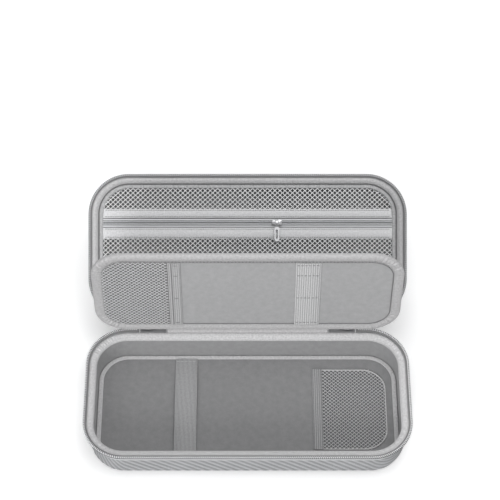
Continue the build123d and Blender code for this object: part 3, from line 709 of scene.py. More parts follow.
pad_roll = np.linspace(-math.pi / 2, 0, 6)
under = np.stack([PAD_INSET + PAD_ROUND * (1 - np.cos(pad_roll)),
                  PAD_LOW + PAD_ROUND * (1 + np.sin(pad_roll))], -1)
pad_profile = np.concatenate([under, [(PAD_INSET, PAD_TOP - 0.4 * MM), (PAD_INSET + 0.4 * MM, PAD_TOP)]])
board = Finish("stiff_board", Roughness=0.85)
vector, *_ = board.place("Object")
board.feed("Base Color", board.blend(board.noise(vector, 3 * MM, 4, 0.7), (0.16, 0.15, 0.14),
                                     (0.30, 0.29, 0.27)))
for held in bpy.data.objects["floor_board"].material_slots:
    held.material = board.material
floor_knit = knit_finish("floor_knit", 0.56)


def from_table(points):
    """Heights that are measured from the table already stay as they are."""
    return np.asarray(points, float)


floor_cushion = piece("floor_cushion", [cushion(pad_profile, 300, 12, HALF_L, HALF_W, CORNER_R)],
                      from_table, floor_knit, "base", ["floor_pad"])
edge_turn = np.linspace(0, 2 * math.pi, 14, endpoint=False)
edge_round = np.stack([PAD_INSET + PAD_BINDING_W / 2 - PAD_BINDING_W / 2 * np.cos(edge_turn),
                       PAD_TOP + PAD_BINDING_T * (0.45 + 0.5 * np.sin(edge_turn))], -1)
piece("floor_edge", [sleeve(run_round(edge_round, binding_along), closed=True)], from_table, ribbon_weave,
      "base", ["floor_binding"])


def elastic_finish(name, colour, rib=0.95 * MM, along="u", relief=0.22):
    """Elastic web: fine ribs as a sine along its run, a weaker sine across it, and a noise."""
    web = Finish(name, Roughness=0.8, Specular_IOR_Level=0.3, Sheen_Weight=0.2)
    vector, u, v, _ = web.place()
    run, width = (u, v) if along == "u" else (v, u)
    ribs = run.wave(rib)
    mottle = (web.noise(vector, 1.6 * MM, 3, 0.6) - 0.5) * 0.8
    tone = ribs * 0.75 + width.wave(0.7 * MM) * 0.15 + mottle + 0.05
    low, high = (tuple(share * c for c in colour) for share in (0.58, 1.2))
    web.feed("Base Color", web.blend(tone, low, high))
    web.bump(ribs, relief * MM)
    return web.material


grey_elastic = elastic_finish("grey_elastic", (0.40, 0.40, 0.405), 1.2 * MM, "v")


def strip_box(x, y, z, steps=2):
    """Flat strip between two corners along Y, each long edge cut off by a share of the thinner
    side.
    """
    (x0, x1), (y0, y1), (z0, z1) = x, y, z
    soft = min(z1 - z0, x1 - x0) * 0.28
    ring = np.array([(x0, z0 + soft), (x0 + soft, z0), (x1 - soft, z0), (x1, z0 + soft),
                     (x1, z1 - soft), (x1 - soft, z1), (x0 + soft, z1), (x0, z1 - soft)])
    grid = np.empty((steps, len(ring), 3))
    grid[..., 0], grid[..., 2] = ring[:, 0], ring[:, 1]
    grid[..., 1] = np.linspace(y0, y1, steps)[:, None]
    return sleeve(grid)


def bowed(y_reach, seat, rise, x, thick, steps):
    """Strip along Y held down at its ends and bowed up between them as a circular arc."""
    radius = (y_reach ** 2 + rise ** 2) / (2 * rise)
    y = np.linspace(-y_reach, y_reach, steps)
    lift = np.sqrt(radius ** 2 - y ** 2) - (radius - rise)
    part = np.stack(strip_box(x, (0, 1), (0, thick), 2)[0].reshape(4, 8, 3)[1:2].repeat(steps, 0))
    part[..., 1] = y[:, None]
    part[..., 2] += seat + lift[:, None]
    return sleeve(part)


strap_reach = HALF_W - PAD_INSET - PAD_BINDING_W - SEW_GAP
strap_x = (STRAP_X - STRAP_W / 2, STRAP_X + STRAP_W / 2)
piece("floor_band", [bowed(strap_reach, PAD_TOP, STRAP_BOW, strap_x, STRAP_T, 60)], from_table, grey_elastic,
      "base", ["floor_strap"])


def row_of_stitches(start, stop, lift, pitch=STITCH_PITCH):
    """A straight row of equal stitches between two points, each a fixed share of its step."""
    start, stop = np.asarray(start, float), np.asarray(stop, float)
    length = np.linalg.norm(stop - start)
    count = max(int(length / pitch), 1)
    step = (stop - start) / count
    begin = start + np.arange(count)[:, None] * step
    return stitches((begin, begin + step * STITCH_SHARE), np.asarray(lift, float))


def mesh_net(region, cell, thread, height):
    """Knitted net: threads that swing to touch one neighbour and then the other.

    region is (x low, x high, y low, y high, reach): reach gives, for a y, how far the net
    extends at each end.  Each thread runs along X; its swing is a clipped triangle wave.  The
    nudge keeps the points past a round corner from falling on one another.
    """
    x_low, x_high, y_low, y_high, reach = region
    count = int((y_high - y_low) / (cell[1] / 2))
    y = y_low + (np.arange(count) + 0.5) * (y_high - y_low) / count
    low, high = reach(y)
    x = np.arange(x_low, x_high, cell[0] / 8)
    phase = (x / cell[0]) % 1.0
    swing = np.clip(np.abs(phase * 4 - 2) - 1, -0.9, 0.9) / 0.9 * cell[1] / 4
    sign = np.where(np.arange(count) % 2, 1, -1)[:, None]
    nudge = np.arange(len(x)) * 1e-8
    xs = np.clip(x[None], low[:, None], high[:, None]) + nudge
    ys = y[:, None] + sign * swing[None]
    paths = np.stack([np.clip(xs, x_low, x_high) + nudge, ys,
                      np.full_like(xs, height) + sign * 0.12 * thread], -1)
    return tubes(paths, thread, 4, np.array([0, 0, 1.0]))


def net_finish(name, colour):
    """Net thread: dull yarn, its tone a noise plus a sine along the thread for the twist."""
    yarn = Finish(name, Roughness=0.75, Specular_IOR_Level=0.3, Sheen_Weight=0.3)
    vector, u, *_ = yarn.place()
    tone = yarn.noise(vector, 1.1 * MM, 2) * 0.8 + u.wave(0.6 * MM) * 0.3 - 0.05
    yarn.feed("Base Color", yarn.blend(tone, tuple(0.75 * c for c in colour), tuple(1.2 * c for c in colour)))
    return yarn.material


net_yarn = net_finish("net_yarn", (0.97, 0.97, 0.975))
YARN_COVER = 0.62


def stretched(width, length):
    """A net is a stretched sheet, and of its flat cut only the yarn's share is cloth."""
    YARN_COVER * width * length


def pocket_reach(y):
    """Ends of the floor pocket: its mouth, and its far edge with two round corners.

    Past a corner's centre the edge goes as the root of its radius squared less the distance
    past the centre squared.
    """
    beyond = np.clip(np.abs(y) - (POCKET_HALF - POCKET_CORNER_R), 0, POCKET_CORNER_R)
    far = POCKET_END - POCKET_CORNER_R + np.sqrt(np.maximum(POCKET_CORNER_R ** 2 - beyond ** 2, 0))
    return np.full_like(y, POCKET_MOUTH + ELASTIC_W), far


net_z = PAD_TOP + ELASTIC_T / 2
FLOOR_CELL, FLOOR_YARN_R, EDGE_CORD_R = (3.9 * MM, 3.5 * MM), 0.26 * MM, 0.55 * MM
# Dark knit for the sheets behind the nets: painted shade inside the pockets.
shade_knit = knit_finish("pocket_shade_back", 0.32)


def backing(region, z_low, z_high, rows=30):
    """Thin closed sheet that fills a net's region: a four-cornered section at each of its rows."""
    _, _, y_low, y_high, reach = region
    y = np.linspace(y_low, y_high, rows)
    low, high = reach(y)
    corners = ((low, z_low), (low, z_high), (high, z_high), (high, z_low))
    ring = [np.stack(np.broadcast_arrays(x, y, z), -1) for x, z in corners]
    return sleeve(np.stack(ring, 1))


pocket = (POCKET_MOUTH + ELASTIC_W, POCKET_END, -POCKET_HALF, POCKET_HALF, pocket_reach)
floor_mesh = piece("floor_mesh", [mesh_net(pocket, FLOOR_CELL, FLOOR_YARN_R, net_z)], from_table,
                   net_finish("floor_yarn", (0.62, 0.62, 0.63)), "base", ["floor_net"])
stretched(POCKET_END - POCKET_MOUTH - ELASTIC_W, 2 * POCKET_HALF)
# The dark sheet under the floor net is painted shade.
piece("floor_mesh_shade_back", [backing(pocket, PAD_TOP - 0.1 * MM, PAD_TOP + 0.15 * MM)], from_table, shade_knit,
      "base")
piece("floor_mouth", [strip_box((POCKET_MOUTH, POCKET_MOUTH + ELASTIC_W), (-POCKET_HALF, POCKET_HALF),
                                (PAD_TOP, PAD_TOP + ELASTIC_T), 2)], from_table,
      elastic_finish("mouth_elastic", (0.34, 0.34, 0.345), 1.9 * MM, "v"), "base",
      ["floor_net_elastic"])
corner_turn = np.linspace(0, math.pi / 2, 13)
corner_x = POCKET_END - POCKET_CORNER_R + POCKET_CORNER_R * np.sin(corner_turn)
corner_y = POCKET_HALF - POCKET_CORNER_R + POCKET_CORNER_R * np.cos(corner_turn)
edge_path = np.concatenate([[(POCKET_MOUTH + ELASTIC_W, POCKET_HALF)], np.stack([corner_x, corner_y], -1)])
edge_path = np.concatenate([edge_path, edge_path[::-1] * [1, -1]])
edge_path = np.column_stack([edge_path, np.full(len(edge_path), net_z)])
edge_path = edge_path * [1, 0.985, 1] - [0.6 * MM, 0, 0]
piece("floor_mesh_edge", [tubes([edge_path], EDGE_CORD_R, 6, np.array([0, 0, 1.0]))], from_table,
      ribbon_weave, "base")
floor_sewing = [rim_stitches(PAD_INSET + PAD_BINDING_W - 0.8 * MM, PAD_TOP + 0.5 * MM)]
for side in (-1, 1):
    y, z = side * (strap_reach - 3 * MM), PAD_TOP + STRAP_T + 0.35 * MM
    floor_sewing.append(row_of_stitches((strap_x[0] + MM, y, z), (strap_x[1] - MM, y, z), (0, 0, 1)))
piece("floor_sewing", floor_sewing, from_table, sewing_thread, "base")

# ---- Net pocket of the lid ----------------------------------------------------------------
# A bound panel of net, seamed across by a zip between two stitched webs.  It stands a little
# behind the rim, so that the lid is dark behind it, and a strip of knit joins it to the wall;
# that strip's knit is darkened as painted shade.
POCKET_DROP, FRAME_OUT, FRAME_W, FRAME_T = 9.4 * MM, 7.4 * MM, 5.9 * MM, 1.4 * MM
UPPER_BAND, UPPER_BAND_W, LOWER_BAND_W, BAND_T = 32.4 * MM, 8.7 * MM, 10.4 * MM, 1.0 * MM
ZIP_W, ROW_W, ROW_GAP, ROW_T = 8.8 * MM, 1.4 * MM, 0.8 * MM, 1.5 * MM
POCKET_SLIDER_X = 27.3 * MM
BACK = -POCKET_DROP
FRAME_IN = FRAME_OUT + FRAME_W
upper_y = UPPER_BAND - HALF_W
zip_y = upper_y + UPPER_BAND_W
lower_y = zip_y + ZIP_W
net_y = lower_y + LOWER_BAND_W
zip_centre = (zip_y + lower_y) / 2

HIDDEN_W, RUCK_DEPTH, RUCK_PITCH = 2.4 * MM, 0.42 * MM, 2.7 * MM
LID_CELL, LID_YARN_R, BAND_STITCH = (4.65 * MM, 4.15 * MM), 0.42 * MM, 2.2 * MM
SHOWN_OUT, SHOWN_W = FRAME_OUT + HIDDEN_W, FRAME_W - HIDDEN_W
wall_strip = np.array([(BINDING_OUT + BINDING_W - 1.2 * MM, -5.2 * MM),
                       (SHOWN_OUT + 0.8 * MM, BACK + 0.6 * MM),
                       (SHOWN_OUT + 0.8 * MM, BACK), (FRAME_OUT, BACK),
                       (BINDING_OUT + BINDING_W - 2 * MM, -6 * MM)])
# The strip's knit is darker than the lining: painted shade on the wall between the roll and the frame.
piece("lid_wall_strip", [sleeve(run_round(wall_strip, binding_along[::2]), closed=True)], on_lid,
      knit_finish("wall_shade_knit", 0.5), "lid")
frame_turn = np.linspace(0, 2 * math.pi, 16, endpoint=False)
frame_inset = SHOWN_OUT + SHOWN_W / 2 - SHOWN_W / 2 * squared_off(np.cos(frame_turn), 0.7)
frame_rise = 0.9 * MM * (np.sin(frame_turn) > 0) * np.sin(frame_turn)
frame_round = np.stack([frame_inset, BACK + FRAME_T / 2 + frame_rise + FRAME_T / 2 * np.sin(frame_turn)], -1)
top_only = np.clip((frame_round[:, 1] - BACK - FRAME_T / 2) / FRAME_T, 0, 1)
ruck_depth = RUCK_DEPTH * (0.6 + 0.4 * np.sin(binding_along * 610))
rucks = ruck_depth * (np.sin(2 * np.pi * binding_along / RUCK_PITCH) - 1)
piece("lid_pocket_edge", [sleeve(run_round(frame_round, binding_along, rucks[:, None] * top_only),
                                 closed=True)],
      on_lid, ribbon_finish("frame_ribbon", (0.50, 0.50, 0.505)), "lid", ["lid_net_frame"])


def panel_reach(y):
    """Ends of the lid's net panel at each y, inside its round corners, by the same root."""
    radius = CORNER_R - FRAME_IN
    beyond = np.clip(np.abs(y) - (HALF_W - CORNER_R), 0, radius)
    far = HALF_L - CORNER_R + np.sqrt(radius ** 2 - beyond ** 2)
    return -far, far


for name, y_low, y_high in (("upper", FRAME_IN - HALF_W, upper_y), ("lower", net_y, HALF_W - FRAME_IN)):
    region = (FRAME_IN - HALF_L, HALF_L - FRAME_IN, y_low, y_high, panel_reach)
    net = piece("lid_mesh_" + name, [mesh_net(region, LID_CELL, LID_YARN_R, BACK + NET_T / 2)], on_lid,
                net_yarn, "lid", ["lid_net_" + name])
    stretched(2 * (HALF_L - FRAME_IN), y_high - y_low)


def web(y_low, y_high, z_low, z_high, steps=240):
    """Flat web across the lid's panel: eight lines round its section, each run in equal steps
    between the panel's ends at that line's y.
    """
    y = np.array([y_low, y_low, y_low + 0.3 * MM, y_high - 0.3 * MM, y_high, y_high, y_high - 0.3 * MM,
                  y_low + 0.3 * MM])
    soft = (z_high - z_low) * 0.3
    z = np.array([z_low + soft, z_high - soft, z_high, z_high, z_high - soft, z_low + soft, z_low, z_low])
    low, high = panel_reach(y)
    share = np.linspace(0, 1, steps)[:, None]
    x = low + share * (high - low)
    return sleeve(np.stack(np.broadcast_arrays(x, y, z), -1))


pale_web = elastic_finish("pale_web", (0.91, 0.91, 0.92), 0.7 * MM, relief=0.12)
for name, y_low, y_high in (("upper", upper_y, zip_y), ("lower", lower_y, net_y)):
    piece("lid_web_" + name, [web(y_low, y_high, BACK, BACK + BAND_T)], on_lid, pale_web, "lid",
          ["lid_band_" + name])
row_out = ROW_GAP / 2 + ROW_W
inner_tape = tape_finish("pocket_tape", (0.82, 0.825, 0.84), (0.60, 0.605, 0.62), 1.45 * MM)
tape_parts = [web(zip_y, zip_centre - ROW_GAP / 2, BACK, BACK + NET_T),
              web(zip_centre + ROW_GAP / 2, lower_y, BACK, BACK + NET_T)]
piece("pocket_tapes", tape_parts, on_lid, inner_tape, "lid", ["pocket_zip_tape"])
INNER_PITCH = 1.3 * MM
rows = []
for side in (-1, 1):
    middle = zip_centre + side * (ROW_GAP / 2 + ROW_W / 2)
    low, high = panel_reach(np.array(middle))
    x = np.arange(low + MM, high - MM, INNER_PITCH / COIL_STEPS)
    centre = np.column_stack([x, np.full(len(x), middle), np.full(len(x), BACK + ROW_T / 2)])
    rows.append(helix(centre, np.array([0, 1.0, 0]), np.array([0, 0, 1.0]), (0.62 * MM, 0.52 * MM), 0.2 * MM))
dark_coil = Finish("pocket_coil", Roughness=0.35, Base_Color=(0.52, 0.53, 0.55, 1)).material
# Dark lines just outside each coil row and along the tape's edges: painted shade beside the coils and where
# the tape meets the webs.
lines = []
for away in (row_out + 0.15 * MM, ZIP_W / 2 - 0.25 * MM):
    for y in (zip_centre - away, zip_centre + away):
        low, high = panel_reach(np.array(y))
        line = np.array([(x, y, BACK + NET_T) for x in (low, 0, high)])
        lines.append(tubes([line], 0.3 * MM, 6, np.array([0, 0, 1.0])))
piece("pocket_coil_shade_lines", lines, on_lid, dark_shade_cord, "lid")
piece("pocket_coils", rows, on_lid, dark_coil, "lid", ["pocket_zip_coil"])
sewing = [rim_stitches(FRAME_IN - 1.3 * MM, BACK + FRAME_T + 0.5 * MM)]
band_sewing = []
for y in (upper_y + 1.2 * MM, zip_y - 1.3 * MM, lower_y + 1.4 * MM, net_y - 1.4 * MM):
    low, high = panel_reach(np.array(y))
    start, stop = (low + 2 * MM, y, BACK + BAND_T + 0.12 * MM), (high - 2 * MM, y, BACK + BAND_T + 0.16 * MM)
    band_sewing.append(row_of_stitches(start, stop, (0, 0, 1), BAND_STITCH))
piece("lid_sewing", sewing, on_lid, sewing_thread, "lid")
grey_thread = Finish("grey_thread", Roughness=0.6, Base_Color=(0.17, 0.17, 0.173, 1),
                     Sheen_Weight=0.3).material
piece("lid_band_sewing", band_sewing, on_lid, grey_thread, "lid")

# ---- Padded divider -----------------------------------------------------------------------
# A soft panel with a broad rolled edge, a mid-dark cord in the crease inside it as painted shade,
# hinged at the back rim and swinging with the lid.  Its front carries a stretched net pocket on a
# dark knit back, which is painted shade behind the net, the pocket's elastic mouth and an elastic strap.
DIVIDER_SIDE, DIVIDER_FRONT, DIVIDER_BACK, DIVIDER_R = 8.6 * MM, 17.6 * MM, 6.1 * MM, 30.1 * MM
DIVIDER_T, DIVIDER_BINDING_W, PANEL_T = 4.4 * MM, 9.6 * MM, 3.4 * MM
divider_axis = np.array(joints["divider_swing"]["pos_m"])
coupled = {link["joint"]: link["ratio"] for link in frame["record"]["behaviour"]["couplings"]}
DIVIDER_LIFT = coupled["divider_swing"] * SHUT
flap_back, flap_front = HALF_W - DIVIDER_BACK, DIVIDER_FRONT - HALF_W
flap_x = HALF_L - DIVIDER_SIDE
flap_y, flap_middle = (flap_back - flap_front) / 2, (flap_back + flap_front) / 2


def on_divider(points):
    """As on_base, then turned about the divider's hinge line by the angle that lifts it."""
    return turned(on_base(points), divider_axis, -DIVIDER_LIFT)


FLAP_COLUMNS, ROLL_STEPS, SEAM_STEPS = 900, 28, 6
ROLL_SWELL, ROLL_DIP, RIPPLE_PITCH = 0.7 * MM, 0.30 * MM, 4.1 * MM
SEAM_CORD_W, SEAM_CORD_T = 0.42 * MM, 0.38 * MM
NET_SIDE, NET_L, FLAP_CELL, FLAP_YARN_R = 8.4 * MM, 59.8 * MM, (4.4 * MM, 4.1 * MM), 0.31 * MM
FLAP_STRAP_AT, FLAP_STRAP_HALF = 85.4 * MM, 11.25 * MM
flap_length = 4 * (flap_x + flap_y) - (8 - 2 * math.pi) * DIVIDER_R
flap_along = np.arange(FLAP_COLUMNS) * flap_length / FLAP_COLUMNS
roll_turn = np.linspace(0, 2 * math.pi, ROLL_STEPS, endpoint=False)
roll_inset = DIVIDER_BINDING_W / 2 - DIVIDER_BINDING_W / 2 * squared_off(np.cos(roll_turn), 0.75)
roll_height = (DIVIDER_T / 2 + ROLL_SWELL) * squared_off(np.sin(roll_turn), 0.75)
inward = np.clip((roll_inset / DIVIDER_BINDING_W - 0.5) * 2, 0, 1)
roll_height = roll_height * (1 - 0.5 * inward ** 1.5)
_, flap_normal = rounded(flap_along, np.zeros(FLAP_COLUMNS), flap_x, flap_y, DIVIDER_R)
bend = 4 * np.abs(flap_normal[:, 0] * flap_normal[:, 1])
ripple = np.sin(2 * np.pi * flap_along / RIPPLE_PITCH) + 0.8 * np.sin(flap_along * 930 + 1)
ripple = ripple * (0.2 + 0.36 * bend) * MM
roll_insets = np.broadcast_to(roll_inset, (FLAP_COLUMNS, ROLL_STEPS))
plan, _ = rounded(flap_along[:, None], roll_insets, flap_x, flap_y, DIVIDER_R)
sunk = (ROLL_DIP + 0.5 * ripple[:, None]) * (np.abs(roll_height) > 0.4 * DIVIDER_T)
height = roll_height - np.sign(roll_height) * sunk
flap_roll = np.concatenate([plan, height[..., None]], -1)
flap_roll[..., 1] += flap_middle
soft_ribbon = ribbon_finish("divider_ribbon", (0.46, 0.455, 0.46))
divider_roll = piece("divider_roll", [sleeve(flap_roll, closed=True)], on_divider, soft_ribbon, "divider",
                     ["divider_binding"], 70)
edge = DIVIDER_BINDING_W - 0.4 * MM
seam_along = flap_along[::3]
seam_inset_all = np.full(len(seam_along), DIVIDER_BINDING_W + 0.15 * MM)
seam_plan, seam_out = rounded(seam_along, seam_inset_all, flap_x, flap_y, DIVIDER_R)
seam_turn = np.arange(SEAM_STEPS) * 2 * math.pi / SEAM_STEPS
seams = []
for side in (-1, 1):
    cord_plan = seam_plan[:, None] + SEAM_CORD_W * np.cos(seam_turn)[:, None] * seam_out[:, None]
    cord_height = (side * PANEL_T / 2 + SEAM_CORD_T * np.sin(seam_turn))[:, None]
    cord = np.concatenate([cord_plan, np.broadcast_to(cord_height, (*cord_plan.shape[:2], 1))], -1)
    cord[..., 1] += flap_middle
    seams.append(sleeve(cord, closed=True))
# A mid-dark cord in the crease on each face: painted shade where the roll meets the panel.
piece("divider_roll_seam_shade", seams, on_divider, crease_shade_cord, "divider")
panel_profile = np.array([(edge, -PANEL_T / 2 + 0.3 * MM), (edge, PANEL_T / 2 - 0.3 * MM)])
divider_knit = knit_finish("divider_knit", 0.86)
divider_pad = piece("divider_pad",
                    [cushion(panel_profile, 300, 14, flap_x, flap_y, DIVIDER_R, flap_middle, 0.28 * MM)],
                    on_divider, divider_knit, "divider", ["divider_panel"])
SEAT = -PANEL_T / 2
NET_X = DIVIDER_SIDE + NET_SIDE - HALF_L
NET_END = NET_X + NET_L
FAR_Y, NEAR_Y = flap_front + DIVIDER_BINDING_W + 0.2 * MM, flap_back - DIVIDER_BINDING_W - 0.2 * MM


def flap_reach(y):
    """Ends of the divider's net: round corners at the left, by the same root, or the net's own
    end where that lies further in, and its straight mouth at the right.
    """
    inset = DIVIDER_BINDING_W + SEW_GAP
    radius = DIVIDER_R - inset
    beyond = np.clip(np.abs(y - flap_middle) - (flap_y - DIVIDER_R), 0, radius)
    low = -(flap_x - DIVIDER_R + np.sqrt(np.maximum(radius ** 2 - beyond ** 2, 0)))
    return np.maximum(low, NET_X), np.full_like(y, NET_END)


flap_net = (NET_X, NET_END, FAR_Y, NEAR_Y, flap_reach)
divider_mesh = piece("divider_mesh", [mesh_net(flap_net, FLAP_CELL, FLAP_YARN_R, SEAT - NET_T / 2)],
                     on_divider, net_finish("flap_yarn", (0.74, 0.74, 0.75)), "divider",
                     ["divider_net"])
stretched(NET_END - NET_X, NEAR_Y - FAR_Y)
# The dark sheet under the divider's net is painted shade.
piece("divider_mesh_shade_back", [backing(flap_net, SEAT - 0.28 * MM, SEAT + 0.1 * MM)], on_divider, shade_knit,
      "divider")
flap_elastic = elastic_finish("flap_elastic", (0.57, 0.57, 0.575), 2.0 * MM, "v")
narrow_x, wide_x = (NET_END + 0.4 * MM, NET_END + 3.6 * MM), (NET_END + 4 * MM, NET_END + 11.7 * MM)
bands = [strip_box(x, (FAR_Y, NEAR_Y), (SEAT - ELASTIC_T, SEAT)) for x in (narrow_x, wide_x)]
piece("divider_mouth", bands, on_divider, elastic_finish("mouth_band", (0.46, 0.46, 0.465), 1.9 * MM, "v"),
      "divider", ["divider_net_elastic"])
strap_at = flap_x - FLAP_STRAP_AT
flap_strap_x = (strap_at - FLAP_STRAP_HALF, strap_at + FLAP_STRAP_HALF)
piece("divider_band", [strip_box(flap_strap_x, (FAR_Y, NEAR_Y), (SEAT - STRAP_T, SEAT))], on_divider,
      flap_elastic, "divider", ["divider_strap"])
count = int(flap_length / STITCH_PITCH)
begin = np.arange(count) * flap_length / count
flap_ends = []
for shift in (0, STITCH_PITCH * STITCH_SHARE):
    plan, _ = rounded(begin + shift, np.full(count, DIVIDER_BINDING_W - 0.9 * MM), flap_x, flap_y, DIVIDER_R)
    flap_ends.append(np.column_stack([plan + [0, flap_middle], np.full(count, SEAT - 0.12 * MM)]))
piece("divider_sewing", [stitches(flap_ends, np.array([0, 0, -1.0]))], on_divider, sewing_thread, "divider")
sewing = []
for y in FAR_Y + np.array([0.03, 0.19, 0.55, 0.96]) * (NEAR_Y - FAR_Y):
    for (x0, x1), thick in ((flap_strap_x, STRAP_T), (wide_x, ELASTIC_T)):
        z = SEAT - thick - 0.1 * MM
        sewing.append(row_of_stitches((x0 + MM, y, z), (x1 - MM, y, z), (0, 0, -1)))
piece("divider_band_sewing", sewing, on_divider, grey_thread, "divider")

# ---- Spine, its cover and the divider's hinge ----------------------------------------------
# Fabric layers bowed out a little between the two fold lines: an inner cloth, a coated cover
# with a folded tab at each end, and the shut ends of the zip beside it.
SPINE_H, SPINE_INSET, SPINE_BULGE, SPINE_T = 18 * MM, 2.5 * MM, 1.6 * MM, 0.8 * MM
COVER_T, COVER_TAB_L, COVER_TAB_T = 0.8 * MM, 6 * MM, 0.7 * MM
CHAIN_ROW_W, CHAIN_GAP, CHAIN_T = 2 * MM, 1 * MM, 2.1 * MM
SPINE_COIL, SPINE_COIL_WIRE_R = (0.72 * MM, 0.78 * MM), 0.24 * MM
FOLD_Y = HALF_W - SPINE_INSET
spine_seat = FOLD_Y - SEW_GAP
CHAIN_Y = spine_seat + SPINE_BULGE + SPINE_T / 2


def bow_lift(z):
    """How far the spine stands out at height z: an arc through its two seams, as the root of
    the arc's radius squared less z squared, less the depth of its centre.
    """
    reach = SPINE_H / 2 - FOLD_GAP - SEW_GAP
    radius = (reach ** 2 + SPINE_BULGE ** 2) / (2 * SPINE_BULGE)
    return np.sqrt(radius ** 2 - z ** 2) - (radius - SPINE_BULGE)


def bowed_layer(lift, thick, x_low, x_high, z_low, z_high, steps=2):
    """A layer of the spine between two places along it: its faces are the bow plus lift, and
    the bow plus lift and thickness.
    """
    z = np.linspace(z_low, z_high, 14)
    under, over = spine_seat + lift + bow_lift(z), spine_seat + lift + thick + bow_lift(z)
    ring = np.concatenate([np.stack([under, z], -1), np.stack([over, z], -1)[::-1]])
    grid = np.empty((steps, len(ring), 3))
    grid[..., 1], grid[..., 2] = ring[:, 0], ring[:, 1]
    grid[..., 0] = np.linspace(x_low, x_high, steps)[:, None]
    return sleeve(grid)


seam = SPINE_H / 2 - FOLD_GAP - SEW_GAP
trim_coat = Finish("coated_trim", Metallic=0.15, Roughness=0.42)
vector, *_ = trim_coat.place()
grain = trim_coat.noise(vector, 0.9 * MM, 3, 0.65)
trim_coat.feed("Base Color", trim_coat.blend(grain, (0.50, 0.505, 0.515), (0.66, 0.665, 0.68)))
trim_coat.bump(grain, 0.12 * MM)
coated_trim = trim_coat.material
inner_layer = bowed_layer(0, SPINE_T, -COVER_HALF, COVER_HALF, -seam, seam)
outer_layer = bowed_layer(SPINE_T, COVER_T, -COVER_HALF, COVER_HALF, -seam, seam)
piece("spine_cloth", [inner_layer], on_spine, silver_tape, "spine", ["spine_fabric"])
piece("spine_cover", [outer_layer], on_spine, coated_trim, "spine", ["hinge_cover"])
tabs = [bowed_layer(SPINE_T + COVER_T, COVER_TAB_T, side * COVER_HALF,
                    side * (COVER_HALF - COVER_TAB_L), -seam, seam) for side in (-1, 1)]
piece("spine_tabs", tabs, on_spine, coated_trim, "spine", ["hinge_cover_tabs"])
row_reach = CHAIN_GAP / 2 + CHAIN_ROW_W
tapes, coils, cords = [], [], []
for side in (-1, 1):
    ends = (side * (COVER_HALF + SEW_GAP), side * SPINE_HALF)
    for z0, z1 in ((-seam, -row_reach), (row_reach, seam)):
        tapes.append(bowed_layer(0, SPINE_T, *ends, z0, z1))
    for z in (-1, 1):
        x = np.arange(COVER_HALF + 0.6 * MM, SPINE_HALF - 0.4 * MM, COIL_PITCH / COIL_STEPS)
        middle = z * (CHAIN_GAP + CHAIN_ROW_W - SEW_GAP) / 2
        centre = np.column_stack([side * x, np.full(len(x), CHAIN_Y), np.full(len(x), middle)])
        coils.append(helix(centre, np.array([0, 0, 1.0]), np.array([0, 1.0, 0]), SPINE_COIL,
                           SPINE_COIL_WIRE_R))
        core = np.array([(-0.7, -0.7), (0.7, -0.7), (0.7, 0.7), (-0.7, 0.7)]) * 0.8 * MM
        grid = np.empty((2, 4, 3))
        grid[..., 0] = np.array(ends)[:, None]
        grid[..., 1], grid[..., 2] = CHAIN_Y + core[:, 0], middle + core[:, 1]
        cords.append(sleeve(grid))
spine_tape = tape_finish("spine_tape", (0.50, 0.50, 0.51), (0.36, 0.36, 0.37))
piece("spine_tapes", tapes, on_spine, spine_tape, "spine", ["spine_zip_tape"])
# The spine coils' dark cores are painted shade between the loops.
piece("spine_coil_cords", cords, on_spine, dark_shade_cord, "spine")
piece("spine_coils", coils, on_spine, nylon_coil, "spine", ["spine_zip_coil"])
sewing = []
for z in (-seam + 1.6 * MM, seam - 1.6 * MM):
    y = spine_seat + SPINE_T + COVER_T + bow_lift(z)
    start, stop = (2 * MM - COVER_HALF + COVER_TAB_L, y, z), (COVER_HALF - COVER_TAB_L - 2 * MM, y, z)
    sewing.append(row_of_stitches(start, stop, (0, 1, 0)))
for side in (-1, 1):
    x = side * (COVER_HALF - COVER_TAB_L + 1.2 * MM)
    y = spine_seat + SPINE_T + COVER_T + COVER_TAB_T + bow_lift(0.6 * seam)
    sewing.append(row_of_stitches((x, y, -0.62 * seam), (x, y, 0.62 * seam), (0, 1, 0), 2.4 * MM))
piece("spine_sewing", sewing, on_spine, sewing_thread, "spine")


def prism(points, half_length):
    """Strip along X, the same each side of the middle, from a run of (y, z) points."""
    points = np.asarray(points, float)
    grid = np.empty((2, len(points), 3))
    grid[..., 1], grid[..., 2] = points[:, 0], points[:, 1]
    grid[..., 0] = np.array([-half_length, half_length])[:, None]
    return sleeve(grid)


def wall_inset(drop):
    """How far in from the zip line the shell's wall stands, that far below the plane: the
    lip's own inset plus the drop below the lip times the wall's lean.
    """
    return LIP_INSET + (drop - LIP_DROP) * lip_lean


AXIS_INSET, AXIS_DROP, HINGE_SHORT, HINGE_T, ANCHOR_H = 3.3 * MM, 2 * MM, 2 * MM, 1 * MM, 2 * MM
axis_y, hinge_half = HALF_W - AXIS_INSET, COVER_HALF - HINGE_SHORT
round_end = np.linspace(-0.4 * math.pi, 0.75 * math.pi, 9)
nose = [(axis_y + HINGE_T / 2 * math.cos(a), -AXIS_DROP + HINGE_T / 2 * math.sin(a)) for a in round_end]
hinge = [(flap_back, -HINGE_T / 2), *nose, (flap_back, HINGE_T / 2)]
piece("divider_hinge_cloth", [prism(hinge, hinge_half)], on_divider, soft_ribbon, "divider",
      ["divider_hinge"])
anchor_y, anchor_top = HALF_W - BINDING_OUT, -AXIS_DROP - HINGE_T / 2
anchor_back, anchor_low = anchor_y + 0.7 * MM, anchor_top - ANCHOR_H
anchor = [(anchor_y, anchor_low), (anchor_back, anchor_low), (anchor_back, anchor_top),
          (anchor_y, anchor_top)]
piece("divider_anchor_cloth", [prism(anchor, hinge_half)], on_base, soft_ribbon, "base",
      ["divider_anchor"])
top, low = SPINE_H / 2 + FOLD_GAP, SPINE_H * 0.75
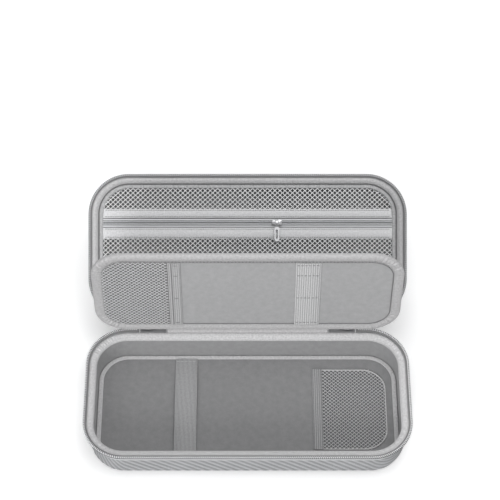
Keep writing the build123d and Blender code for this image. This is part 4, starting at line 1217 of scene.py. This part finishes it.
flange = [(HALF_W - wall_inset(top), -top), (HALF_W - wall_inset(top) + SPINE_T, -top + 0.2 * MM),
          (HALF_W - wall_inset(low) + SPINE_T * 0.8, -low + 0.3 * MM), (HALF_W - wall_inset(low), -low)]
for half, place in (("base", on_base), ("lid", on_lid)):
    piece(half + "_flange", [prism(flange, COVER_HALF)], place, coated_trim, half,
          [half + "_hinge_flange"])
    y = HALF_W - wall_inset(low - 1.5 * MM) + SPINE_T
    start, stop = (2 * MM - COVER_HALF, y, 1.5 * MM - low), (COVER_HALF - 2 * MM, y, 1.5 * MM - low)
    piece(half + "_flange_sewing", [row_of_stitches(start, stop, (0, 1, 0))], place, sewing_thread, half)

# ---- Carry handle -------------------------------------------------------------------------
# A padded grip in coated cloth, arched out from the spine, on a flat strap at each end that
# narrows to where it is sewn in under the cover's tab.
HANDLE_SEAM, HANDLE_STRAP_L, HANDLE_STRAP_T = 2 * MM, 18 * MM, 1.6 * MM
GRIP_RISE, GRIP_CROWN, GRIP_W, GRIP_T = 9.5 * MM, 20 * MM, 10 * MM, 6.4 * MM
root_x = COVER_HALF - HANDLE_SEAM
root_y = FOLD_Y - SEW_GAP + SPINE_BULGE + SPINE_T + COVER_T + COVER_TAB_T + FOLD_GAP
grip_x = root_x - HANDLE_STRAP_L
sagitta = GRIP_CROWN - GRIP_RISE
grip_radius = (grip_x ** 2 + sagitta ** 2) / (2 * sagitta)
GRIP_COLUMNS, GRIP_STEPS = 90, 24
PIPING_R, PIPING_OUT, PIPING_SIDE = 0.42 * MM, 0.86, 0.72
grip_turn = np.linspace(-1, 1, GRIP_COLUMNS) * math.asin(grip_x / grip_radius)
grip_centre = np.stack([grip_radius * np.sin(grip_turn),
                        root_y + GRIP_CROWN - grip_radius * (1 - np.cos(grip_turn))], -1)
grip_out = np.stack([np.sin(grip_turn), np.cos(grip_turn)], -1)
around = np.linspace(0, 2 * math.pi, GRIP_STEPS, endpoint=False)
half_w = GRIP_W / 2 * squared_off(np.cos(around), 0.8)
half_t = GRIP_T / 2 * squared_off(np.sin(around), 0.8)
fullness = 1 - 0.45 * np.abs(np.linspace(-1, 1, GRIP_COLUMNS)) ** 14
grip = np.empty((GRIP_COLUMNS, GRIP_STEPS, 3))
grip[..., :2] = grip_centre[:, None] + (fullness[:, None] * half_t)[..., None] * grip_out[:, None]
grip[..., 2] = (0.5 + 0.5 * fullness[:, None]) * half_w
grip_cover = piece("handle_cover", [sleeve(grip)], on_spine, coated_trim, "handle",
                   ["handle_grip"])
end_slope = grip_turn[-1]
strap_path = np.array([(root_x, root_y + HANDLE_STRAP_T / 2),
                       (root_x - 3.5 * MM, root_y + 0.4 * MM + HANDLE_STRAP_T / 2),
                       (root_x - 7 * MM, root_y + 0.8 * MM + HANDLE_STRAP_T / 2),
                       (root_x - 12 * MM, root_y + 4.7 * MM), (grip_x, root_y + GRIP_RISE),
                       (grip_x - 2 * MM * math.cos(end_slope),
                        root_y + GRIP_RISE + 2 * MM * math.sin(end_slope))])
strap_width = np.array([1.4, 2.6, 4.0, 5.0, 5.0, 5.0]) * MM
strap_dir = np.gradient(strap_path, axis=0)
strap_dir /= np.linalg.norm(strap_dir, axis=1, keepdims=True)
strap_normal = np.stack([-strap_dir[:, 1], strap_dir[:, 0]], -1) * HANDLE_STRAP_T / 2
strap = np.empty((6, 4, 3))
for k, (way, side) in enumerate(((1, -1), (1, 1), (-1, 1), (-1, -1))):
    strap[:, k, :2] = strap_path + way * strap_normal
    strap[:, k, 2] = side * strap_width
right = sleeve(strap)
left = sleeve(strap * [-1, 1, 1])
piece("handle_webs", [left, right], on_spine, coated_trim, "handle", ["handle_straps"])
grip_piping = []
for z in (-1, 1):
    piping_place = grip_centre + grip_out * (PIPING_OUT * GRIP_T / 2)
    line = np.column_stack([piping_place, np.full(GRIP_COLUMNS, z * PIPING_SIDE * GRIP_W / 2)])[6:84]
    grip_piping.append(tubes([line], PIPING_R, 6, np.array([0, 0, 1.0])))
piece("handle_piping", grip_piping, on_spine, soft_ribbon, "handle")

# ---- Main sliders, rings and pull tabs ------------------------------------------------------
# A cast slider on each shut end of the zip: two plates on a stem, with a bail over them.  A
# wire ring runs through the bail, and a soft drop-shaped tab with piped edges is folded on it.
SLIDER_X, SLIDER_L, SLIDER_W, PLATE_T, POST_T = SPINE_HALF - 8.5 * MM, 15 * MM, 9.6 * MM, 0.9 * MM, 0.6 * MM
BAIL_L, BAIL_RISE, BAIL_T, BAIL_HALF_W = 6.8 * MM, 3 * MM, 1.1 * MM, 1.4 * MM


def metal(name, colour, rough):
    """Cast or drawn metal: its roughness is the given one plus a share of a fine noise."""
    cast = Finish(name, Metallic=1.0, Base_Color=(*colour, 1))
    vector, *_ = cast.place("Object")
    cast.feed("Roughness", cast.noise(vector, 1.5 * MM, 3, 0.6) * 0.22 + (rough - 0.1))
    return cast.material


slider_metal = metal("gunmetal", (0.36, 0.36, 0.37), 0.32)
ring_metal = metal("bronze_wire", (0.40, 0.33, 0.25), 0.28)
pocket_metal = metal("bright_nickel", (0.50, 0.50, 0.51), 0.34)


def plate_stack(outline, levels):
    """Closed flat form: an (x, y) outline, scaled about its middle at several (height, scale)
    levels, and drawn in to the middle at both ends.
    """
    outline = np.asarray(outline, float)
    middle = outline.mean(0)
    rings = [np.column_stack([middle + scale * (outline - middle), np.full(len(outline), z)])
             for z, scale in levels]
    grid = np.stack([rings[0] * [0, 0, 1] + [*middle, 0], *rings, rings[-1] * [0, 0, 1] + [*middle, 0]])
    cloth = grid[..., :2]
    cloth = np.concatenate([cloth, cloth[:, :1]], 1)
    return skin(grid, cloth, wrap_v=True)


def slider_parts(length, width, gap, post):
    """Two plates with a nose and a mouth, edges rounded over, on a stem, with side lips.

    A corner of a plate is a quadratic curve between points a fixed share of the way to its
    neighbours.
    """
    nose, mouth, half, shoulder = width * 0.31, width * 0.385, length / 2, length / 6
    corners = np.array([(-half, -nose), (shoulder, -width / 2), (half, -mouth), (half, mouth),
                        (shoulder, width / 2), (-half, nose)])
    rounded_off = []
    for before, here, after in zip(np.roll(corners, 1, 0), corners, np.roll(corners, -1, 0)):
        a, b = here + 0.18 * (before - here), here + 0.18 * (after - here)
        for t in np.linspace(0, 1, 5):
            rounded_off.append((1 - t) ** 2 * a + 2 * t * (1 - t) * here + t ** 2 * b)
    edge = [(0, 0.965), (0.12 * MM, 1), (PLATE_T - 0.35 * MM, 1), (PLATE_T - 0.1 * MM, 0.975),
            (PLATE_T, 0.93)]
    low = [(-PLATE_T + z, s) for z, s in edge[:3]] + [(0, 1)]
    parts = [plate_stack(rounded_off, low), plate_stack(rounded_off, [(gap + z, s) for z, s in edge])]
    unit_square = np.array([(-0.5, -0.5), (0.5, -0.5), (0.5, 0.5), (-0.5, 0.5)])
    stem = unit_square * [shoulder, post] + [half - length / 8, 0]
    parts.append(plate_stack(stem, [(-0.1 * MM, 1), (gap + 0.1 * MM, 1)]))
    for side in (-1, 1):
        lip = unit_square * [half * 0.55, PLATE_T / 2]
        lip += [length / 8, side * (width - 1.6 * PLATE_T) / 2]
        parts.append(plate_stack(lip, [(gap * 0.66, 1), (gap + 0.1 * MM, 1)]))
    return parts


def stood(parts, x, y, mirror):
    """Slider parts laid on the spine: length added to x, height added to y, width along z."""
    turned_parts = []
    for points, quads, uv in parts:
        placed = np.stack([mirror * (x + points[:, 0]), y + points[:, 2], points[:, 1]], -1)
        turned_parts.append((placed, quads, uv))
    return turned_parts


slider_gap = CHAIN_T + 2 * SEW_GAP
bail_turn = np.linspace(0, math.pi, 15)
straight = BAIL_L / 2 - BAIL_RISE
bail_mid = BAIL_RISE - BAIL_T / 2
bail_path = np.stack([np.cos(bail_turn) * bail_mid + np.sign(np.cos(bail_turn)) * straight, np.zeros(15),
                      slider_gap + PLATE_T + np.sin(bail_turn) * bail_mid], -1)
bail_path = np.concatenate([bail_path[:1] - [0, 0, 0.25 * MM], bail_path, bail_path[-1:] - [0, 0, 0.25 * MM]])
bail_dir = np.gradient(bail_path, axis=0)
bail_dir /= np.linalg.norm(bail_dir, axis=1, keepdims=True)
bail_n = np.cross(bail_dir, [0, 1.0, 0])
soft_turn = np.linspace(0, 2 * math.pi, 12, endpoint=False)
flat = squared_off(np.cos(soft_turn), 0.6) * BAIL_HALF_W
deep = squared_off(np.sin(soft_turn), 0.6) * BAIL_T / 2
bail = bail_path[:, None] + deep[:, None] * bail_n[:, None] + flat[:, None] * np.array([0, 1.0, 0])
cast = slider_parts(SLIDER_L, SLIDER_W, slider_gap, POST_T) + [sleeve(bail)]
WIRE_D, RING_PLAY, RING_L, RING_W, RING_R = 1.2 * MM, 0.35 * MM, 7 * MM, 9 * MM, 1.5 * MM
TAB_L, TAB_W, TAB_NECK, TAB_T = 21 * MM, 12 * MM, 4.4 * MM, 3 * MM
eye_y = CHAIN_Y + CHAIN_T / 2 + SEW_GAP + PLATE_T + RING_PLAY + WIRE_D / 2
ring_far = RING_L - WIRE_D
WIRE_COLUMNS, WIRE_STEPS = 96, 10
wire_length = 2 * (ring_far + RING_W - WIRE_D) - (8 - 2 * math.pi) * RING_R
wire_along = np.arange(WIRE_COLUMNS) / WIRE_COLUMNS * wire_length
wire, wire_out = rounded(wire_along, np.zeros(WIRE_COLUMNS), ring_far / 2, (RING_W - WIRE_D) / 2, RING_R)
wire[:, 0] += ring_far / 2
wire_ring = np.arange(WIRE_STEPS) * 2 * math.pi / WIRE_STEPS
ring_grid = np.empty((WIRE_COLUMNS, WIRE_STEPS, 3))
ring_grid[..., 1:] = wire[:, None] + (WIRE_D / 2 * np.cos(wire_ring))[:, None] * wire_out[:, None]
ring_grid[..., 0] = WIRE_D / 2 * np.sin(wire_ring)
ring_part = sleeve(ring_grid, closed=True)
tab_side = TAB_L - TAB_W / 2
nose_turn = np.linspace(-math.pi / 2, math.pi / 2, 22)
tab_outline = np.concatenate([[(0, TAB_NECK / 2), (0, 0), (0, -TAB_NECK / 2),
                               (tab_side / 2, -(TAB_NECK + TAB_W) / 4)],
                              np.stack([tab_side + TAB_W / 2 * np.cos(nose_turn),
                                        TAB_W / 2 * np.sin(nose_turn)], -1),
                              [(tab_side / 2, (TAB_NECK + TAB_W) / 4)]])
tab_start = ring_far - 2 * WIRE_D
tab_levels = [(-0.5, 0.9), (-0.38, 0.97), (-0.15, 1.0), (0.15, 1.0), (0.38, 0.97), (0.5, 0.9)]


def tab_part(thick, levels):
    """The tab's outline stacked through its thickness: each level's height is a share of it.
    Its length runs out from the ring.
    """
    points, quads, uv = plate_stack(tab_outline, [(z * thick, s) for z, s in levels])
    return points[:, [2, 0, 1]] + [0, tab_start, 0], quads, uv


piping = np.column_stack([np.zeros(len(tab_outline)), tab_start + tab_outline[:, 0], tab_outline[:, 1]])
piping[:, 1:] = piping[:, 1:].mean(0) + 0.965 * (piping[:, 1:] - piping[:, 1:].mean(0))
tab_cloth = knit_finish("tab_cloth", 1.35)
for side, name in ((-1, "left"), (1, "right")):
    piece("main_slider_" + name, stood(cast, SLIDER_X, CHAIN_Y - slider_gap / 2, side), on_spine,
          slider_metal, "slider_" + name, ["zip_slider_" + name], 35)
    shift = np.array([side * SLIDER_X, eye_y, 0])
    moved = [(part[0] + shift, part[1], part[2]) for part in (ring_part, tab_part(TAB_T * 0.82, tab_levels))]
    piece("wire_ring_" + name, moved[:1], on_spine, ring_metal, "pull_" + name,
          ["pull_ring_" + name])
    tab = piece("soft_tab_" + name, moved[1:], on_spine, tab_cloth, "pull_" + name,
                ["pull_tab_" + name])
    loops = [tubes([piping[4:] + shift + [x, 0, 0]], PIPING_R, 6, np.array([1.0, 0, 0]))
             for x in (-0.36 * TAB_T, 0.36 * TAB_T)]
    piece("tab_piping_" + name, loops, on_spine, soft_ribbon, "pull_" + name)

# ---- Pocket slider and its pull -----------------------------------------------------------
# A small bright slider on the lid's zip, with a pin that a slim pull with a window turns on.
POCKET_SLIDER_L, POCKET_SLIDER_W, PIN_R, PIN_H = 9.6 * MM, 6.4 * MM, 1.1 * MM, 1.9 * MM
PIN_CAP_R, PIN_CAP_T = 1.9 * MM, 0.6 * MM
PULL_L, PULL_W, PULL_T, PULL_RIM = 20 * MM, 5.2 * MM, 1.3 * MM, 1.85 * MM
pocket_gap = ROW_T + 2 * SEW_GAP
seat = BACK - SEW_GAP
pin_foot = seat + pocket_gap + PLATE_T
circle = np.linspace(0, 2 * math.pi, 24, endpoint=False)
disc = np.stack([np.cos(circle), np.sin(circle)], -1)
small = slider_parts(POCKET_SLIDER_L, POCKET_SLIDER_W, pocket_gap, ROW_GAP - 4 * SEW_GAP)
small.append(plate_stack(disc * PIN_R, [(pin_foot - seat - 0.1 * MM, 1), (pin_foot - seat + PIN_H, 1)]))
pin_top = pin_foot - seat + PIN_H
cap_levels = [(pin_top, 0.9), (pin_top + 0.15 * MM, 1), (pin_top + 0.4 * MM, 0.97),
              (pin_top + PIN_CAP_T, 0.7)]
small.append(plate_stack(disc * PIN_CAP_R, cap_levels))
small = [(points + [POCKET_SLIDER_X, zip_centre, seat], quads, uv) for points, quads, uv in small]
piece("small_slider", small, on_lid, pocket_metal, "pocket_slider", ["pocket_zip_slider"], 35)
to_eye = (PULL_L - PULL_W) / 2
window_l = PULL_L - PULL_W - 2 * (PIN_R + FOLD_GAP + PULL_RIM)


def slot(length, width, count=40):
    """Outline of a round-ended slot along X: a circle whose halves are moved apart."""
    turn = np.linspace(0, 2 * math.pi, count, endpoint=False) + 1e-4
    end = np.sign(np.cos(turn)) * (length - width) / 2
    return np.stack([end + width / 2 * np.cos(turn), width / 2 * np.sin(turn)], -1)


def framed(outer, inner, low, high):
    """Flat link between an outer and an inner outline of equal count, edges softened: its top
    and bottom lines lie a fixed distance in, on the lines that join the two outlines.
    """
    soft = 0.22 * MM
    mid_out = outer + (inner - outer) * soft / np.linalg.norm(inner - outer, axis=1, keepdims=True)
    mid_in = inner - (inner - outer) * soft / np.linalg.norm(inner - outer, axis=1, keepdims=True)
    rings = [(outer, low + soft), (outer, high - soft), (mid_out, high), (mid_in, high),
             (inner, high - soft), (inner, low + soft), (mid_in, low), (mid_out, low)]
    grid = np.stack([np.column_stack([line, np.full(len(line), z)]) for line, z in rings], 1)
    return sleeve(grid, closed=True)


eye_ring = disc * (PIN_R + FOLD_GAP) + [-to_eye, 0]
eye_outer = disc * PULL_W / 2 + [-to_eye, 0]
window_x = to_eye - window_l / 2
window_outer = slot(PULL_L - PULL_W - (PIN_R + FOLD_GAP + PULL_RIM) + PULL_W / 2, PULL_W)
window_outer[:, 0] += PULL_L / 2 - window_outer[:, 0].max()
window_inner = slot(window_l, PULL_W - 2 * PULL_RIM)
window_inner[:, 0] += window_x
low, high = (PIN_H - PULL_T) / 2, (PIN_H + PULL_T) / 2
pull = [framed(eye_outer, eye_ring, low, high),
        framed(window_outer, window_inner, low + 0.02 * MM, high - 0.02 * MM)]
pull = [(np.stack([POCKET_SLIDER_X - points[:, 1], zip_centre + to_eye + points[:, 0],
                   pin_foot + points[:, 2]], -1), quads, uv)
        for points, quads, uv in pull]
piece("small_pull", pull, on_lid, pocket_metal, "pocket_pull", ["pocket_zip_pull"], 40)

# ---- Ground, light and view ---------------------------------------------------------------
# A white sweep under soft light from above and a little in front.  Away from the case the sweep
# glows up to white, so that it has no horizon.  The camera looks down from in front, from far
# enough away that the two halves keep nearly true proportions.
ground_mesh = bpy.data.meshes.new("ground")
ground_mesh.from_pydata([(-9, -9, 0), (9, -9, 0), (9, 9, 0), (-9, 9, 0)], [], [(0, 1, 2, 3)])
ground = bpy.data.objects.new("ground", ground_mesh)
bpy.context.scene.collection.objects.link(ground)
sweep = Finish("white_ground", Base_Color=(0.32, 0.32, 0.32, 1), Roughness=0.9, Specular_IOR_Level=0.1)
vector, *_ = sweep.place("Object")
distance = sweep.add("ShaderNodeVectorMath", {"operation": "LENGTH"}, [vector], 1)
far_off = sweep.add("ShaderNodeMapRange", {"interpolation_type": "SMOOTHSTEP"},
                    {"Value": distance, "From Min": 0.25, "From Max": 0.7, "To Min": 0.25, "To Max": 1.0})
lifted = sweep.tree.nodes.new("ShaderNodeBsdfPrincipled")
for socket, value in (("Base Color", (0.9, 0.9, 0.9, 1)), ("Roughness", 0.9), ("Specular IOR Level", 0.1),
                      ("Emission Strength", 1.0)):
    lifted.inputs[socket].default_value = value
sweep.tree.links.new(far_off.socket, lifted.inputs["Emission Color"])
by_camera = sweep.tree.nodes.new("ShaderNodeLightPath")
ground_mix = sweep.tree.nodes.new("ShaderNodeMixShader")
sweep.tree.links.new(by_camera.outputs["Is Camera Ray"], ground_mix.inputs["Fac"])
sweep.tree.links.new(sweep.shader.outputs[0], ground_mix.inputs[1])
sweep.tree.links.new(lifted.outputs[0], ground_mix.inputs[2])
sweep.tree.links.new(ground_mix.outputs[0], sweep.tree.nodes["Material Output"].inputs["Surface"])
ground_mesh.materials.append(sweep.material)
world = bpy.data.worlds.new("studio")
bpy.context.scene.world = world
world.use_nodes = True
sky = world.node_tree
for node in list(sky.nodes):
    sky.nodes.remove(node)
output = sky.nodes.new("ShaderNodeOutputWorld")
path = sky.nodes.new("ShaderNodeLightPath")
lit = sky.nodes.new("ShaderNodeBackground")
seen = sky.nodes.new("ShaderNodeBackground")
choose = sky.nodes.new("ShaderNodeMixShader")
lit.inputs["Color"].default_value, lit.inputs["Strength"].default_value = (0.98, 0.99, 1, 1), 0.40
seen.inputs["Color"].default_value, seen.inputs["Strength"].default_value = (1, 1, 1, 1), 1.0
sky.links.new(path.outputs["Is Camera Ray"], choose.inputs["Fac"])
sky.links.new(lit.outputs[0], choose.inputs[1])
sky.links.new(seen.outputs[0], choose.inputs[2])
sky.links.new(choose.outputs[0], output.inputs["Surface"])


def soft_light(name, place, aim, size, power):
    """Square area light, turned to face a point by the angles of the line towards it."""
    lamp = bpy.data.lights.new(name, "AREA")
    lamp.size, lamp.energy = size, power
    made = bpy.data.objects.new(name, lamp)
    bpy.context.scene.collection.objects.link(made)
    way = np.array(aim, float) - place
    made.location = place
    made.rotation_euler = (math.atan2(math.hypot(way[0], way[1]), -way[2]), 0, -math.atan2(way[0], way[1]))


soft_light("overhead", (0.15, -0.1, 1.6), (0, 0.03, 0.05), 1.1, 12.5)
soft_light("back_fill", (0.5, 1.5, 0.9), (0, 0.1, 0.05), 0.9, 5)
soft_light("front_fill", (-0.35, -1.5, 0.6), (0, 0, 0.06), 0.9, 18)
CAMERA_DISTANCE, CAMERA_TILT = 1.5264, math.radians(55.8)
target = np.array([0, 0.07705, 0.15664])
lens = bpy.data.cameras.new("view")
lens.lens, lens.sensor_width, lens.shift_x, lens.clip_end = 125.5, 36, 0.00484, 50
view = bpy.data.objects.new("view", lens)
view.location = target + CAMERA_DISTANCE * np.array([0, -math.cos(CAMERA_TILT), math.sin(CAMERA_TILT)])
view.rotation_euler = (math.pi / 2 - CAMERA_TILT, 0, 0)
bpy.context.scene.collection.objects.link(view)
bpy.context.scene.camera = view
bpy.context.scene.view_settings.view_transform = "Standard"
